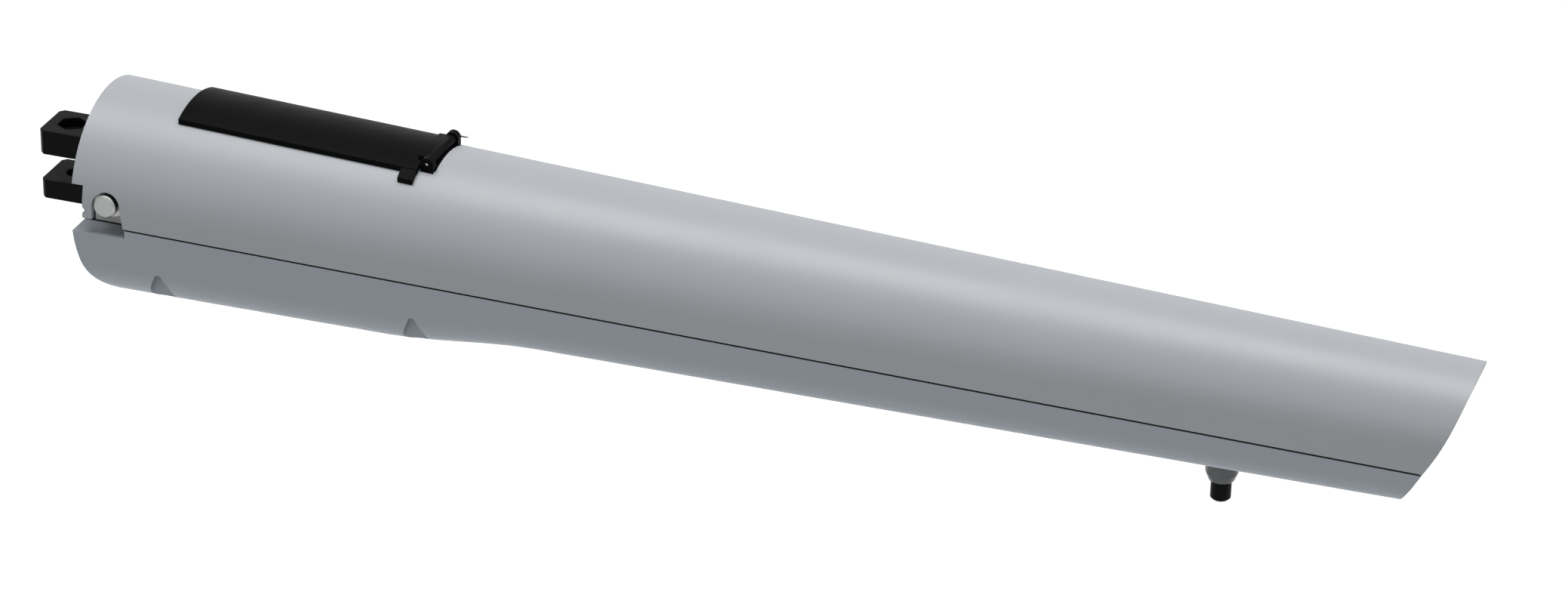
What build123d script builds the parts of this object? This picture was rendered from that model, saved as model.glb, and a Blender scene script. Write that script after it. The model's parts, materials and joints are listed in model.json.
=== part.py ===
from build123d import *
from math import acos, cos, pi, radians, sin, sqrt, tan
import os

# Linear opener for a swing gate.
# Frame, in millimetres: the origin is on the rear fork's vertical pivot axis, at the middle of the fork's gap.
# +X runs to the nose, +Y to the side away from the viewer of the usual picture, +Z up.

# Hull, all as straight lines in x: value at x = 0 and slope
CREST = (46.9, -0.0378)
SEAM = (-6.66, -0.0235)
CROWN_RADIUS = (49.6, -0.0249)
FOOT_HALF_WIDTH = (49.2, -0.0264)
REAR_X = 22.2
NOSE_X = 713.6
NOSE_SEAM_X = 695.4
NOSE_FOOT_X = 684.6
WALL = 2.5
UNDERSIDE_Z = -39.2
BELLY_Z = -45.0
BELLY_STEP = (184.0, 260.0)
BELLY_STEPS = 6
SIDE_SLOPE = 0.03
CORNER_RADIUS = (19.5, -0.0125)
SHADOW_GAP = 0.9
SHADOW_DEPTH = 0.9

# General clearances
FIT = 0.05
RUN = 0.06
GAP = 0.3

# Rear fork
FORK_REAR_X = -12.5
FORK_HALF_WIDTH = 12.9
FORK_TOP_Z = 20.0
FORK_BOTTOM_Z = -17.1
FORK_GAP = (-7.0, 7.0)
FORK_THROAT_X = 13.5
FORK_PIVOT_RADIUS = 4.25
FORK_HEX_ACROSS = 13.0
FORK_HEX_DEPTH = 5.5
CROSS_PIN_X = 40.0
CROSS_PIN_Z = 3.0
CROSS_PIN_RADIUS = 6.0
CROSS_PIN_HALF = 49.0
EYE_RADIUS = 14.0

# Rear carrier
CARRIER_X = (28.5, 33.0)
CHEEK_RADIUS = 8.4
CHEEK_Y = (13.5, 19.0)
BOSS_END_Y = 41.0
WEB_Y = (32.5, 35.0)

# Pin pocket at both sides of the rear end
POCKET_X = 50.3
SHELF_Z = -12.0
LIP_Z = 12.0
TONGUE_X = (28.2, 33.2)
TONGUE_Z = -4.5
NOTCH = (40.6, 2.8, 7.4)

# Drive line
SCREW_Z = -12.0
SCREW_LEAD = 8.0
SCREW_RADIUS = 7.7
THREAD_RADIUS = 8.0
GEAR_MODULE = 1.0
PINION_TEETH = 12
WHEEL_TEETH = 36
PRESSURE_ANGLE = 20.0
TOOTH_THINNING = 0.2
PINION_ADDENDUM = 1.0
WHEEL_ADDENDUM = 0.75
GEAR_CENTRES = GEAR_MODULE * (PINION_TEETH + WHEEL_TEETH) / 2
LAYSHAFT_ANGLE = 135.0
LAYSHAFT_Y = GEAR_CENTRES * cos(radians(LAYSHAFT_ANGLE))
LAYSHAFT_Z = SCREW_Z + GEAR_CENTRES * sin(radians(LAYSHAFT_ANGLE))
LAYSHAFT_RADIUS = 4.5

# Motor
MOTOR_RADIUS = 28.0
MOTOR_X = (62.0, 72.0, 140.0, 146.0)
MOTOR_SHAFT_RADIUS = 4.0
CAN_WALL = 2.0

# Gearbox
CASE_X = (146.0, 150.0, 188.0, 193.0)
CASE_RADIUS = (24.0, 22.0)
CASE_WALL = 2.8
STAGE_ONE_X = (150.9, 155.9)
STAGE_TWO_X = (173.2, 182.2)

# Release clutch
RING_X = (160.8, 168.8)
RING_RADIUS = 14.0
RING_GROOVE = (162.8, 166.8)
DOG_LENGTH = 4.0
DOG_RADII = (8.6, 13.0)
HEX_ACROSS = 12.0
RELEASE_TRAVEL = 4.24
KNOB_X = 162.68
KNOB_THROW = 3.0
KNOB_SPINDLE = 5.5
ROD_PLACE = (1.8, 9.6)

# Screw bearings and guide
REAR_BEARING = (193.2, 204.2, 17.5, 7.5)
FRONT_BEARING = (656.5, 664.5, 14.0, 6.0)
FRONT_BLOCK_X = (653.5, 670.0)
RAIL_X = (240.0, 651.0)
RAIL_HALF_WIDTH = 23.0
RAIL_Z = (-36.4, -33.4)
RAIL_WALL = 2.3
RAIL_LIP_Z = (-20.0, -18.0)

# Carriage and front pin
PIN_X = 594.8
PIN_RADIUS = 5.0
PIN_SHANK_RADIUS = 5.6
PIN_BOTTOM_Z = -72.2
COLLAR_RADIUS = 8.0
COLLAR_Z = (-57.0, -61.5)
TRAVEL = (-290.0, 10.0)
CARRIAGE_HALF_WIDTH = 16.0
NUT_RADIUS = 12.5
SLOT_HALF_WIDTH = 10.0
STOP_REAR_X = 256.0
STOP_FRONT_X = 644.5

# Release cap and its frame
CAP_X = (68.0, 194.0)
CAP_HALF_WIDTH = 20.0
CAP_LIFT = (0.35, 2.7)
OPENING_X = (73.0, 202.0)
OPENING_HALF_WIDTH = 16.0
POCKET_FLOOR_Z = (27.8, 30.3)
HINGE_X = 198.0
HINGE_Z = 40.0
HINGE_RADIUS = 2.6
WIRE_RADIUS = 0.75

# Screws that hold the covers: x, y of the near side; the far side mirrors them
COVER_SCREWS = ((66.9, 41.5), (200.0, 38.2))
NOSE_SCREW = (679.0, 13.0)
RECESS_RADIUS = 6.1
RECESS_STEP_Z = -28.5
SCREW_SEAT_RADIUS = 4.8
RECESS_CEILING_Z = -23.9

OVER = 60.0


def at(line, x):
    """Value of a straight line in x."""
    return line[0] + line[1] * x


def box(x0, x1, y0, y1, z0, z1):
    """Block between pairs of coordinates."""
    return Pos((x0 + x1) / 2, (y0 + y1) / 2, (z0 + z1) / 2) * Box(x1 - x0, y1 - y0, z1 - z0)


def rod_x(radius, x0, x1, y=0.0, z=0.0):
    """Round bar along X."""
    return Pos((x0 + x1) / 2, y, z) * Rot(0, 90, 0) * Cylinder(radius, x1 - x0)


def rod_y(radius, y0, y1, x=0.0, z=0.0):
    """Round bar along Y."""
    return Pos(x, (y0 + y1) / 2, z) * Rot(90, 0, 0) * Cylinder(radius, y1 - y0)


def rod_z(radius, z0, z1, x=0.0, y=0.0):
    """Round bar along Z."""
    return Pos(x, y, (z0 + z1) / 2) * Cylinder(radius, z1 - z0)


def tube_x(outer, inner, x0, x1, y=0.0, z=0.0):
    """Ring or sleeve along X."""
    return rod_x(outer, x0, x1, y, z) - rod_x(inner, x0 - 1, x1 + 1, y, z)


def tube_z(outer, inner, z0, z1, x=0.0, y=0.0):
    """Ring or sleeve along Z."""
    return rod_z(outer, z0, z1, x, y) - rod_z(inner, z0 - 1, z1 + 1, x, y)


def cone_x(r0, r1, x0, x1, y=0.0, z=0.0):
    """Cone frustum along X, radius r0 at x0 and r1 at x1."""
    return Pos((x0 + x1) / 2, y, z) * Rot(0, 90, 0) * Cone(r0, r1, x1 - x0)


def hex_x(across, x0, x1, y=0.0, z=0.0):
    """Hexagonal bar along X, given across its flats."""
    return prism_x(RegularPolygon(across / sqrt(3), 6), x0, x1, y, z)


def station(x):
    """Drawing plane across the hull at x: local axes are Y and Z."""
    return Plane(origin=(x, 0, 0), x_dir=(0, 1, 0), z_dir=(1, 0, 0))


def side_plane(y):
    """Drawing plane along the hull at y: local axes are X and Z."""
    return Plane(origin=(0, y, 0), x_dir=(1, 0, 0), z_dir=(0, -1, 0))


def prism_x(sketch, x0, x1, y=0.0, z=0.0):
    """Sketch in Y and Z pushed along X."""
    return extrude(station(x0) * Pos(y, z) * sketch, amount=x1 - x0)


def prism_y(sketch, y0, y1):
    """Sketch in X and Z pushed along Y."""
    return extrude(side_plane(y1) * sketch, amount=y1 - y0)


def drilled(body, radius, z0, z1, places):
    """Body with vertical holes at the given x, y places."""
    for x, y in places:
        body -= rod_z(radius, z0, z1, x, y)
    return body


def both_sides(places):
    """The given x, y places and their mirror images."""
    return [(x, s * y) for x, y in places for s in (-1, 1)]


def many(shapes):
    """Several separate solids as one part."""
    return Compound(children=[s for shape in shapes for s in shape.solids()])


# Hull surfaces


def crown_face(x, inset, floor):
    """Upper section: half circle on straight sides, closed at the floor height."""
    r = at(CROWN_RADIUS, x) - inset
    h = at(CREST, x) - at(CROWN_RADIUS, x)
    edges = [
        Line((-r, floor), (-r, h)),
        ThreePointArc((-r, h), (0, h + r), (r, h)),
        Line((r, h), (r, floor)),
        Line((r, floor), (-r, floor)),
    ]
    return station(x) * make_face(edges)


def crown_body(x0, x1, inset):
    """Upper hull down to the seam between two stations."""
    return loft([crown_face(x, inset, at(SEAM, x)) for x in (x0, x1)], ruled=True)


def tub_face(x, inset, bottom):
    """Lower section: sloping sides with rounded corners on a flat bottom."""
    top = at(SEAM, x)
    half_top = at(CROWN_RADIUS, x) - inset
    half_foot = at(FOOT_HALF_WIDTH, x) - (UNDERSIDE_Z - bottom) * SIDE_SLOPE - inset * (1 + SIDE_SLOPE / 2)
    outline = Polyline((-half_top, top), (-half_foot, bottom + inset), (half_foot, bottom + inset),
                       (half_top, top), (-half_top, top))
    sketch = make_face(outline)
    sketch = fillet(sketch.vertices().group_by(Axis.Y)[0], at(CORNER_RADIUS, x) - inset)
    return station(x) * sketch


def belly_bottom(x):
    """Height of the bottom: the deeper belly, then an S-curve up to the underside."""
    t = min(1.0, max(0.0, (x - BELLY_STEP[0]) / (BELLY_STEP[1] - BELLY_STEP[0])))
    return BELLY_Z + (UNDERSIDE_Z - BELLY_Z) * t * t * (3 - 2 * t)


def tub_body(inset):
    """Lower hull between its ends, with the belly's S-shaped step."""
    width = BELLY_STEP[1] - BELLY_STEP[0]
    steps = [BELLY_STEP[0] + width * i / BELLY_STEPS for i in range(BELLY_STEPS + 1)]
    stations = [REAR_X - 30] + steps + [NOSE_X + 10]
    return loft([tub_face(x, inset, belly_bottom(x)) for x in stations], ruled=True)


def rear_profile(inset):
    """Side view of the room in front of the lower hull's curved rear end."""
    i = inset
    edges = [
        Line((900, 20), (REAR_X + i, 20)),
        Line((REAR_X + i, 20), (REAR_X + 0.3 + i, -12)),
        Spline((REAR_X + 0.3 + i, -12), (26.2 + i, -27.5), (33.5 + i * 0.7, -37.6 + i * 0.7),
               (45 + i * 0.4, -43.5 + i * 0.9), (62, BELLY_Z + i), tangents=((0.08, -1), (1, 0))),
        Line((62, BELLY_Z + i), (62, -90)),
        Line((62, -90), (900, -90)),
        Line((900, -90), (900, 20)),
    ]
    return make_face(edges)


def nose_profile(inset):
    """Side view of the room behind the slanted, slightly convex nose."""
    i = inset * 1.08
    middle = (NOSE_SEAM_X + 0.9 - i, -22.5)
    edges = [
        Line((-100, 80), (NOSE_X + 28 - i, 80)),
        Line((NOSE_X + 28 - i, 80), (NOSE_X - i, 19.9)),
        ThreePointArc((NOSE_X - i, 19.9), middle, (NOSE_FOOT_X - i, UNDERSIDE_Z)),
        Line((NOSE_FOOT_X - i, UNDERSIDE_Z), (NOSE_FOOT_X - i, -95)),
        Line((NOSE_FOOT_X - i, -95), (-100, -95)),
        Line((-100, -95), (-100, 80)),
    ]
    return make_face(edges)


def upper_hull(inset, lift=0.0):
    """Whole upper hull volume, inset by a wall or lifted outward."""
    body = crown_body(REAR_X - 30, NOSE_X + 10, inset - lift)
    room = prism_y(nose_profile(inset), -OVER, OVER)
    return body & room


def lower_hull(inset):
    """Whole lower hull volume, inset by a wall."""
    body = tub_body(inset) & prism_y(rear_profile(inset), -OVER, OVER)
    return body & prism_y(nose_profile(inset), -OVER, OVER)


# Covers


def seam_groove(side):
    """Shadow groove along the seam, in the upper cover (side 1) or the lower cover (side -1)."""
    rings = []
    cores = []
    for x in (REAR_X - 3, NOSE_X + 8):
        r = at(CROWN_RADIUS, x)
        low, high = sorted((at(SEAM, x) - side * 0.01, at(SEAM, x) + side * SHADOW_GAP / 2))
        rings.append(station(x) * Pos(0, (low + high) / 2) * Rectangle(2 * r + 6, high - low))
        cores.append(station(x) * Pos(0, at(SEAM, x)) * Rectangle(2 * (r - SHADOW_DEPTH), 4))
    return loft(rings, ruled=True) - loft(cores, ruled=True)


def pin_notch():
    """Side cut round the cross pin: stepped rear edge, round notch and its open foot."""
    x, z, r = NOTCH
    foot = Polyline((TONGUE_X[1], z), (TONGUE_X[1], -30), (POCKET_X, -30), (POCKET_X, SHELF_Z),
                    (x + r - 0.3, z + 1.8), (TONGUE_X[1], z))
    rear = TONGUE_X[0]
    nick = Polyline((rear - 1, 2.2), (rear + 2.0, -0.8), (rear - 1, -2.6), (rear - 1, 2.2))
    cut = prism_y(make_face(foot), -OVER, OVER) + prism_y(make_face(nick), -OVER, OVER)
    cut += rod_y(r, -OVER, OVER, x, z)
    cut += box(REAR_X - 5, TONGUE_X[0], -OVER, OVER, -30, LIP_Z)
    return cut + box(REAR_X - 5, TONGUE_X[1] + 1, -OVER, OVER, -30, TONGUE_Z)


def upper_cover():
    """Arched upper cover with its nose, cap opening, pin arches and screw posts."""
    outer = upper_hull(0)
    inner = upper_hull(WALL)
    cover = outer - inner
    cover &= box(REAR_X, NOSE_X + 20, -OVER, OVER, -40, 60)
    posts = []
    for x, y in both_sides(COVER_SCREWS):
        posts.append(rod_z(5.0, at(SEAM, x) + 0.2, 45, x, y))
    for x, y in both_sides((NOSE_SCREW,)):
        posts.append(rod_z(4.6, at(SEAM, x) + 0.2, 45, x, y))
    for x in (80.0, 196.0):
        for y in (-19.5, 19.5):
            posts.append(rod_z(3.4, POCKET_FLOOR_Z[1], 45, x, y))
    for x in (260.0, 330.0, 400.0, 470.0, 540.0, 610.0):
        rib = crown_body(x, x + 2.0, WALL - 0.2) - crown_body(x - 1, x + 3.0, WALL + 3.0)
        posts.append(rib & box(x - 1, x + 3, -OVER, OVER, at(SEAM, x) + 6, 60))
    skin = upper_hull(0.4)
    for post in posts:
        cover += post & skin
    for x, y in both_sides(COVER_SCREWS):
        cover -= rod_z(2.6, -40, at(SEAM, x) + 20, x, y)
    for x, y in both_sides((NOSE_SCREW,)):
        cover -= rod_z(2.1, -60, at(SEAM, x) + 16, x, y)
    for x in (80.0, 196.0):
        for y in (-19.5, 19.5):
            cover -= rod_z(1.7, 20, POCKET_FLOOR_Z[1] + 4.5, x, y)
    cover -= box(OPENING_X[0], OPENING_X[1], -OPENING_HALF_WIDTH, OPENING_HALF_WIDTH, 10, 60)
    cover -= pin_notch() - box(0, 80, -30, 30, -40, 60)
    cover -= seam_groove(1)
    return cover


def recess_places():
    """Cover screw places on both sides."""
    return both_sides(COVER_SCREWS)


def lower_cover():
    """Tub with belly, rear wall, screw bosses, pin slot and seats."""
    outer = lower_hull(0)
    inner = lower_hull(WALL)
    tub = outer - inner
    solids = []
    for x, y in recess_places():
        solids.append(rod_z(RECESS_RADIUS + 1.8, -50, RECESS_CEILING_Z + 2.6, x, y))
        solids.append(rod_z(5.0, RECESS_CEILING_Z, at(SEAM, x) - 0.2, x, y))
    for x, y in both_sides((NOSE_SCREW,)):
        solids.append(rod_z(5.4, -38.9, at(SEAM, x) - 0.2, x, y))
    for x, y in carrier_screw_places():
        solids.append(rod_z(5.5, -46, -38.5, x, y))
    for x, y in case_screw_places():
        solids.append(rod_z(5.5, -46, -39.5, x, y))
    for x in (285.0, 355.0, 425.0, 495.0, 565.0):
        for s in (-1, 1):
            rib = box(x, x + 2.0, s * 33.5 - 10, s * 33.5 + 10, -37.5, -26)
            solids.append(rib - box(x - 1, x + 3, -RAIL_HALF_WIDTH - 0.6, RAIL_HALF_WIDTH + 0.6, -60, 0))
    for s in (-1, 1):
        y0, y1 = sorted((s * (WEB_Y[1] + GAP), s * 60))
        tub -= box(REAR_X - 5, POCKET_X, y0, y1, SHELF_Z, 20)
        solids.append(box(REAR_X - 5, POCKET_X + 2.2, y0, y1, SHELF_Z - 2.5, SHELF_Z))
        solids.append(box(POCKET_X, POCKET_X + 2.2, y0, y1, SHELF_Z - 1, at(SEAM, POCKET_X) - 0.3))
    skin = lower_hull(0.4)
    for solid in solids:
        tub += solid & skin
    gland_pad = rod_x(10.5, REAR_X, REAR_X + 7.5, 30, -22)
    tub += gland_pad
    for x, y in recess_places():
        tub -= rod_z(RECESS_RADIUS, -60, RECESS_STEP_Z, x, y)
        tub -= rod_z(SCREW_SEAT_RADIUS, -50, RECESS_CEILING_Z, x, y)
        tub -= rod_z(2.8, -50, 0, x, y)
    for x, y in both_sides((NOSE_SCREW,)):
        tub -= rod_z(3.9, -60, -34.5, x, y)
        tub -= rod_z(2.4, -50, 0, x, y)
    tub = drilled(tub, 2.3, -43.5, -30, carrier_screw_places())
    tub = drilled(tub, 2.3, -43.5, -30, case_screw_places())
    tub = drilled(tub, 1.9, -38.8, -30, rail_screw_places())
    tub = drilled(tub, 2.3, -38.4, -30, front_block_places())
    front = PIN_X + TRAVEL[1] + COLLAR_RADIUS + 3
    rear = PIN_X + TRAVEL[0] - COLLAR_RADIUS - 3
    slot = box(rear + SLOT_HALF_WIDTH, front - SLOT_HALF_WIDTH, -SLOT_HALF_WIDTH, SLOT_HALF_WIDTH, -60, -30)
    slot += rod_z(SLOT_HALF_WIDTH, -60, -30, rear + SLOT_HALF_WIDTH, 0)
    slot += rod_z(SLOT_HALF_WIDTH, -60, -30, front - SLOT_HALF_WIDTH, 0)
    tub -= slot
    tub -= box(REAR_X - 5, REAR_X + 14, -15.2, 15.2, FORK_BOTTOM_Z - 3.2, 20)
    tub -= rod_x(6.3, 10, 40, 30, -22)
    tub -= seam_groove(-1)
    return tub


# Places of the screws inside


def carrier_screw_places():
    """Screws that hold the rear carrier to the tub's floor."""
    return both_sides(((52.0, 25.0),))


def case_screw_places():
    """Screws that hold the gearbox to the tub's floor."""
    return both_sides(((156.0, 28.5), (180.0, 28.5)))


def rail_screw_places():
    """Screws along the guide rail."""
    return both_sides(((310.0, 14.5), (420.0, 14.5), (530.0, 14.5), (628.0, 14.5)))


def front_block_places():
    """Screws that hold the front bearing block."""
    return both_sides(((662.0, 17.0),))


def stop_places(x):
    """Screws of one travel stop."""
    return both_sides(((x, 12.8),))


def head_screws(places, head_z, head_radius, head_height, shank_radius, tip_z, up=1):
    """Socket head screws: heads start at head_z and stand away from the tip."""
    shapes = []
    for x, y in places:
        screw = rod_z(shank_radius, min(tip_z, head_z + up * 0.5), max(tip_z, head_z + up * 0.5), x, y)
        top = head_z + up * head_height
        screw += rod_z(head_radius, min(head_z, top), max(head_z, top), x, y)
        socket = RegularPolygon(head_radius * 0.55, 6)
        cut = Pos(x, y, top - up * head_height * 0.55) * extrude(socket, amount=up * head_height)
        shapes.append(screw - cut)
    return many(shapes)


# Rear end


def rear_carrier():
    """Bulkhead, cheeks, pin tubes and foot that carry the fork's cross pin."""
    x0, x1 = CARRIER_X
    wall = crown_body(x0, x1, WALL + GAP) & box(x0 - 1, x1 + 1, -OVER, OVER, at(SEAM, x0) + 0.4, 60)
    body = wall - box(x0 - 1, x1 + 1, -14.5, 14.5, -30, 22.5)
    for s in (-1, 1):
        y0, y1 = sorted((s * WEB_Y[1], s * 60))
        body -= box(x0 - 1, x1 + 1, y0, y1, -30, LIP_Z + 0.5)
        y0, y1 = sorted((s * CHEEK_Y[0], s * CHEEK_Y[1]))
        cheek = box(x0, CROSS_PIN_X + 2, y0, y1, -34.5, CROSS_PIN_Z + 12)
        cheek &= prism_y(rear_profile(WALL + 1.2), -OVER, OVER)
        cheek += rod_y(12.0, y0, y1, CROSS_PIN_X, CROSS_PIN_Z)
        cheek += box(CROSS_PIN_X + 1, CROSS_PIN_X + 12, y0, y1, -37.0, CROSS_PIN_Z)
        body += cheek
        y0, y1 = sorted((s * WEB_Y[0], s * WEB_Y[1]))
        body += box(x0, POCKET_X + 1.5, y0, y1, SHELF_Z + GAP, LIP_Z - 0.5)
        y0, y1 = sorted((s * (CHEEK_Y[0] + 1), s * BOSS_END_Y))
        body += rod_y(CHEEK_RADIUS, y0, y1, CROSS_PIN_X, CROSS_PIN_Z)
    body += box(42.5, 60.0, -31.0, 31.0, -38.5, -34.5)
    body -= rod_y(CROSS_PIN_RADIUS + FIT, -OVER, OVER, CROSS_PIN_X, CROSS_PIN_Z)
    return drilled(body, 2.8, -45, -30, carrier_screw_places())


def cross_pin():
    """Lateral pin of the fork with chamfered ends."""
    pin = rod_y(CROSS_PIN_RADIUS, -CROSS_PIN_HALF, CROSS_PIN_HALF, CROSS_PIN_X, CROSS_PIN_Z)
    pin = chamfer(pin.edges().filter_by(GeomType.CIRCLE), 1.0)
    return pin


def rear_fork():
    """Two-eared fork with its hexagon seat, turning on the cross pin."""
    z1, z0 = FORK_TOP_Z, FORK_BOTTOM_Z
    low_y, high_y = -FORK_HALF_WIDTH, FORK_HALF_WIDTH
    outline = Polyline((FORK_REAR_X, z0), (15, z0), (26, -11.2), (CROSS_PIN_X, -11), (CROSS_PIN_X, 17),
                       (26, 17.5), (17, z1), (FORK_REAR_X, z1), (FORK_REAR_X, z0))
    body = prism_y(make_face(outline), low_y, high_y)
    body += rod_y(EYE_RADIUS, low_y, high_y, CROSS_PIN_X, CROSS_PIN_Z)
    corner = body.edges().filter_by(Axis.Z).group_by(Axis.X)[0]
    body = chamfer(corner, 2.2)
    body -= box(FORK_REAR_X - 5, FORK_THROAT_X, -20, 20, FORK_GAP[0], FORK_GAP[1])
    body -= rod_z(FORK_PIVOT_RADIUS, -30, 30)
    seat = Pos(0, 0, z1 - FORK_HEX_DEPTH) * extrude(RegularPolygon(FORK_HEX_ACROSS / sqrt(3), 6, rotation=30), amount=10)
    body -= seat
    body -= rod_y(EYE_RADIUS - 6.0 + FIT, -20, 20, CROSS_PIN_X, CROSS_PIN_Z)
    return body


def fork_bush():
    """Plain bush between the fork's eye and the cross pin."""
    outer = rod_y(EYE_RADIUS - 6.0, -FORK_HALF_WIDTH, FORK_HALF_WIDTH, CROSS_PIN_X, CROSS_PIN_Z)
    return outer - rod_y(CROSS_PIN_RADIUS + RUN, -20, 20, CROSS_PIN_X, CROSS_PIN_Z)


def cable_gland():
    """Cable gland with its dome nut outside and lock nut inside."""
    y, z = 30, -22
    body = rod_x(6.0, REAR_X - 8, REAR_X + 12, y, z)
    body += hex_x(16, REAR_X - 2.9, REAR_X - 0.1, y, z)
    body += cone_x(5.6, 7.6, REAR_X - 10.9, REAR_X - 6.9, y, z)
    body += hex_x(15, REAR_X - 6.9, REAR_X - 2.9, y, z)
    body += hex_x(16, REAR_X + 7.8, REAR_X + 10.8, y, z)
    return body - rod_x(3.4, 0, 60, y, z)


def terminal_block():
    """Terminal strip on the bulkhead's front face."""
    x = CARRIER_X[1]
    body = box(x, x + 9, 19.6, 37, 12.0, 20.6)
    for i in range(4):
        y = 21.7 + 4.4 * i
        body -= rod_x(1.4, x + 4, x + 12, y, 18.2)
        body -= box(x + 5, x + 12, y - 1.2, y + 1.2, 13.0, 15.6)
    return body


# Motor


def motor_can():
    """Drawn can of the motor."""
    return tube_x(MOTOR_RADIUS, MOTOR_RADIUS - CAN_WALL, MOTOR_X[1], MOTOR_X[2], 0, SCREW_Z)


def motor_flange():
    """Front flange with the bearing seat."""
    disc = rod_x(MOTOR_RADIUS, MOTOR_X[2], MOTOR_X[3], 0, SCREW_Z)
    disc -= rod_x(9.5 + FIT, MOTOR_X[2] - 1, MOTOR_X[3] + 1, 0, SCREW_Z)
    return disc


def motor_end_cap():
    """Rear cap of the motor with its bearing seat and cooling slots."""
    cap = rod_x(MOTOR_RADIUS, MOTOR_X[0], MOTOR_X[1], 0, SCREW_Z)
    cap = chamfer(cap.edges().filter_by(GeomType.CIRCLE).group_by(Axis.X)[0], 2.5)
    cap -= rod_x(MOTOR_RADIUS - 3, MOTOR_X[0] + 3, MOTOR_X[1] + 1, 0, SCREW_Z)
    cap += rod_x(12.5, MOTOR_X[0] + 1, MOTOR_X[1] - 1, 0, SCREW_Z)
    cap -= rod_x(9.5 + FIT, MOTOR_X[0] + 2.5, MOTOR_X[1] + 1, 0, SCREW_Z)
    for i in range(6):
        slot = Pos(0, 0, 0) * box(MOTOR_X[0] - 1, MOTOR_X[0] + 4, -2.0, 2.0, 15.5, 22.5)
        cap -= Pos(0, 0, SCREW_Z) * Rot(60 * i, 0, 0) * slot
    return cap


def motor_bearings():
    """Two small ball bearings of the motor shaft."""
    x = MOTOR_X
    rear = tube_x(9.5, MOTOR_SHAFT_RADIUS + RUN, x[0] + 2.6, x[0] + 8.6, 0, SCREW_Z)
    front = tube_x(9.5, MOTOR_SHAFT_RADIUS + RUN, x[2] + 0.0, x[2] + 6.0, 0, SCREW_Z)
    return many([rear, front])


def motor_magnets():
    """Two arc magnets inside the can."""
    ring = tube_x(MOTOR_RADIUS - CAN_WALL - FIT, 20.6, 86, 130, 0, SCREW_Z)
    halves = []
    for s in (-1, 1):
        y0, y1 = sorted((s * 7.5, s * 40))
        halves.append(ring & box(80, 136, y0, y1, -60, 40))
    return many(halves)


def armature():
    """Slotted rotor stack with its windings' end turns."""
    core = rod_x(19.6, 89, 127, 0, SCREW_Z)
    for i in range(12):
        slot = box(88, 128, -1.2, 1.2, 12.0, 21.0)
        core -= Pos(0, 0, SCREW_Z) * Rot(30 * i, 0, 0) * slot
    core += rod_x(16.0, 83, 89, 0, SCREW_Z)
    core += rod_x(16.0, 127, 133, 0, SCREW_Z)
    return core - rod_x(MOTOR_SHAFT_RADIUS + FIT, 80, 140, 0, SCREW_Z)


def commutator():
    """Commutator drum with its slots."""
    drum = rod_x(8.0, 73.5, 81.5, 0, SCREW_Z)
    for i in range(12):
        drum -= Pos(0, 0, SCREW_Z) * Rot(30 * i, 0, 0) * box(73, 80.5, -0.3, 0.3, 7.0, 9.0)
    return drum - rod_x(MOTOR_SHAFT_RADIUS + FIT, 70, 90, 0, SCREW_Z)


def brush_holders():
    """Two brush boxes joined by a ring inside the can."""
    ring = tube_x(MOTOR_RADIUS - CAN_WALL - FIT, 18.5, 73.0, 81.5, 0, SCREW_Z)
    for s in (-1, 1):
        y0, y1 = sorted((s * 10.2, s * 19.5))
        ring += box(74.0, 81.0, y0, y1, SCREW_Z - 4.5, SCREW_Z + 4.5)
        y0, y1 = sorted((s * 9.5, s * 23))
        ring -= box(75.2, 79.8, y0, y1, SCREW_Z - 3.0, SCREW_Z + 3.0)
    return ring


def carbon_brushes():
    """Two carbon brushes, just clear of the commutator."""
    shapes = []
    for s in (-1, 1):
        y0, y1 = sorted((s * 8.3, s * 20))
        shapes.append(box(75.25, 79.75, y0, y1, SCREW_Z - 2.95, SCREW_Z + 2.95))
    return many(shapes)


def motor_shaft():
    """Motor shaft from the rear bearing to the pinion."""
    return rod_x(MOTOR_SHAFT_RADIUS, MOTOR_X[0] + 2.6, STAGE_ONE_X[1] + 0.3, 0, SCREW_Z)


def motor_saddle():
    """Rubber cradle between the motor and the tub's floor."""
    block = box(96, 118, -20, 20, BELLY_Z + WALL, -28)
    return block - rod_x(MOTOR_RADIUS + FIT, 90, 124, 0, SCREW_Z)


# Gears


def gear_points(teeth, addendum):
    """Outline of an involute spur gear with straight chords along each flank."""
    pitch = GEAR_MODULE * teeth / 2
    base = pitch * cos(radians(PRESSURE_ANGLE))
    tip = pitch + GEAR_MODULE * addendum
    root = pitch - GEAR_MODULE * 1.25
    start = max(base, root)
    involute = tan(radians(PRESSURE_ANGLE)) - radians(PRESSURE_ANGLE)
    half = pi / (2 * teeth) - TOOTH_THINNING / 2 / (2 * pitch) + involute
    flank = []
    for i in range(4):
        r = start + (tip - start) * i / 3
        a = acos(min(1.0, base / r))
        flank.append((r, half - (tan(a) - a)))
    if root < base:
        flank.insert(0, (root, flank[0][1]))
    points = []
    for k in range(teeth):
        middle = 2 * pi * k / teeth
        for r, a in flank:
            points.append((r * cos(middle - a), r * sin(middle - a)))
        for r, a in reversed(flank):
            points.append((r * cos(middle + a), r * sin(middle + a)))
    return points


def gear(teeth, addendum, x0, x1, y, z, turn):
    """Spur gear along X with one tooth's middle at the given angle from +Y."""
    points = gear_points(teeth, addendum)
    sketch = make_face(Polyline(*points, points[0]))
    return extrude(station(x0) * Pos(y, z) * Rot(0, 0, turn) * sketch, amount=x1 - x0)


def motor_pinion():
    """Pinion on the motor shaft."""
    body = gear(PINION_TEETH, PINION_ADDENDUM, STAGE_ONE_X[0] - 0.1, STAGE_ONE_X[1] + 0.1, 0, SCREW_Z, LAYSHAFT_ANGLE)
    return body - rod_x(MOTOR_SHAFT_RADIUS + FIT, 140, 170, 0, SCREW_Z)


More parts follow.
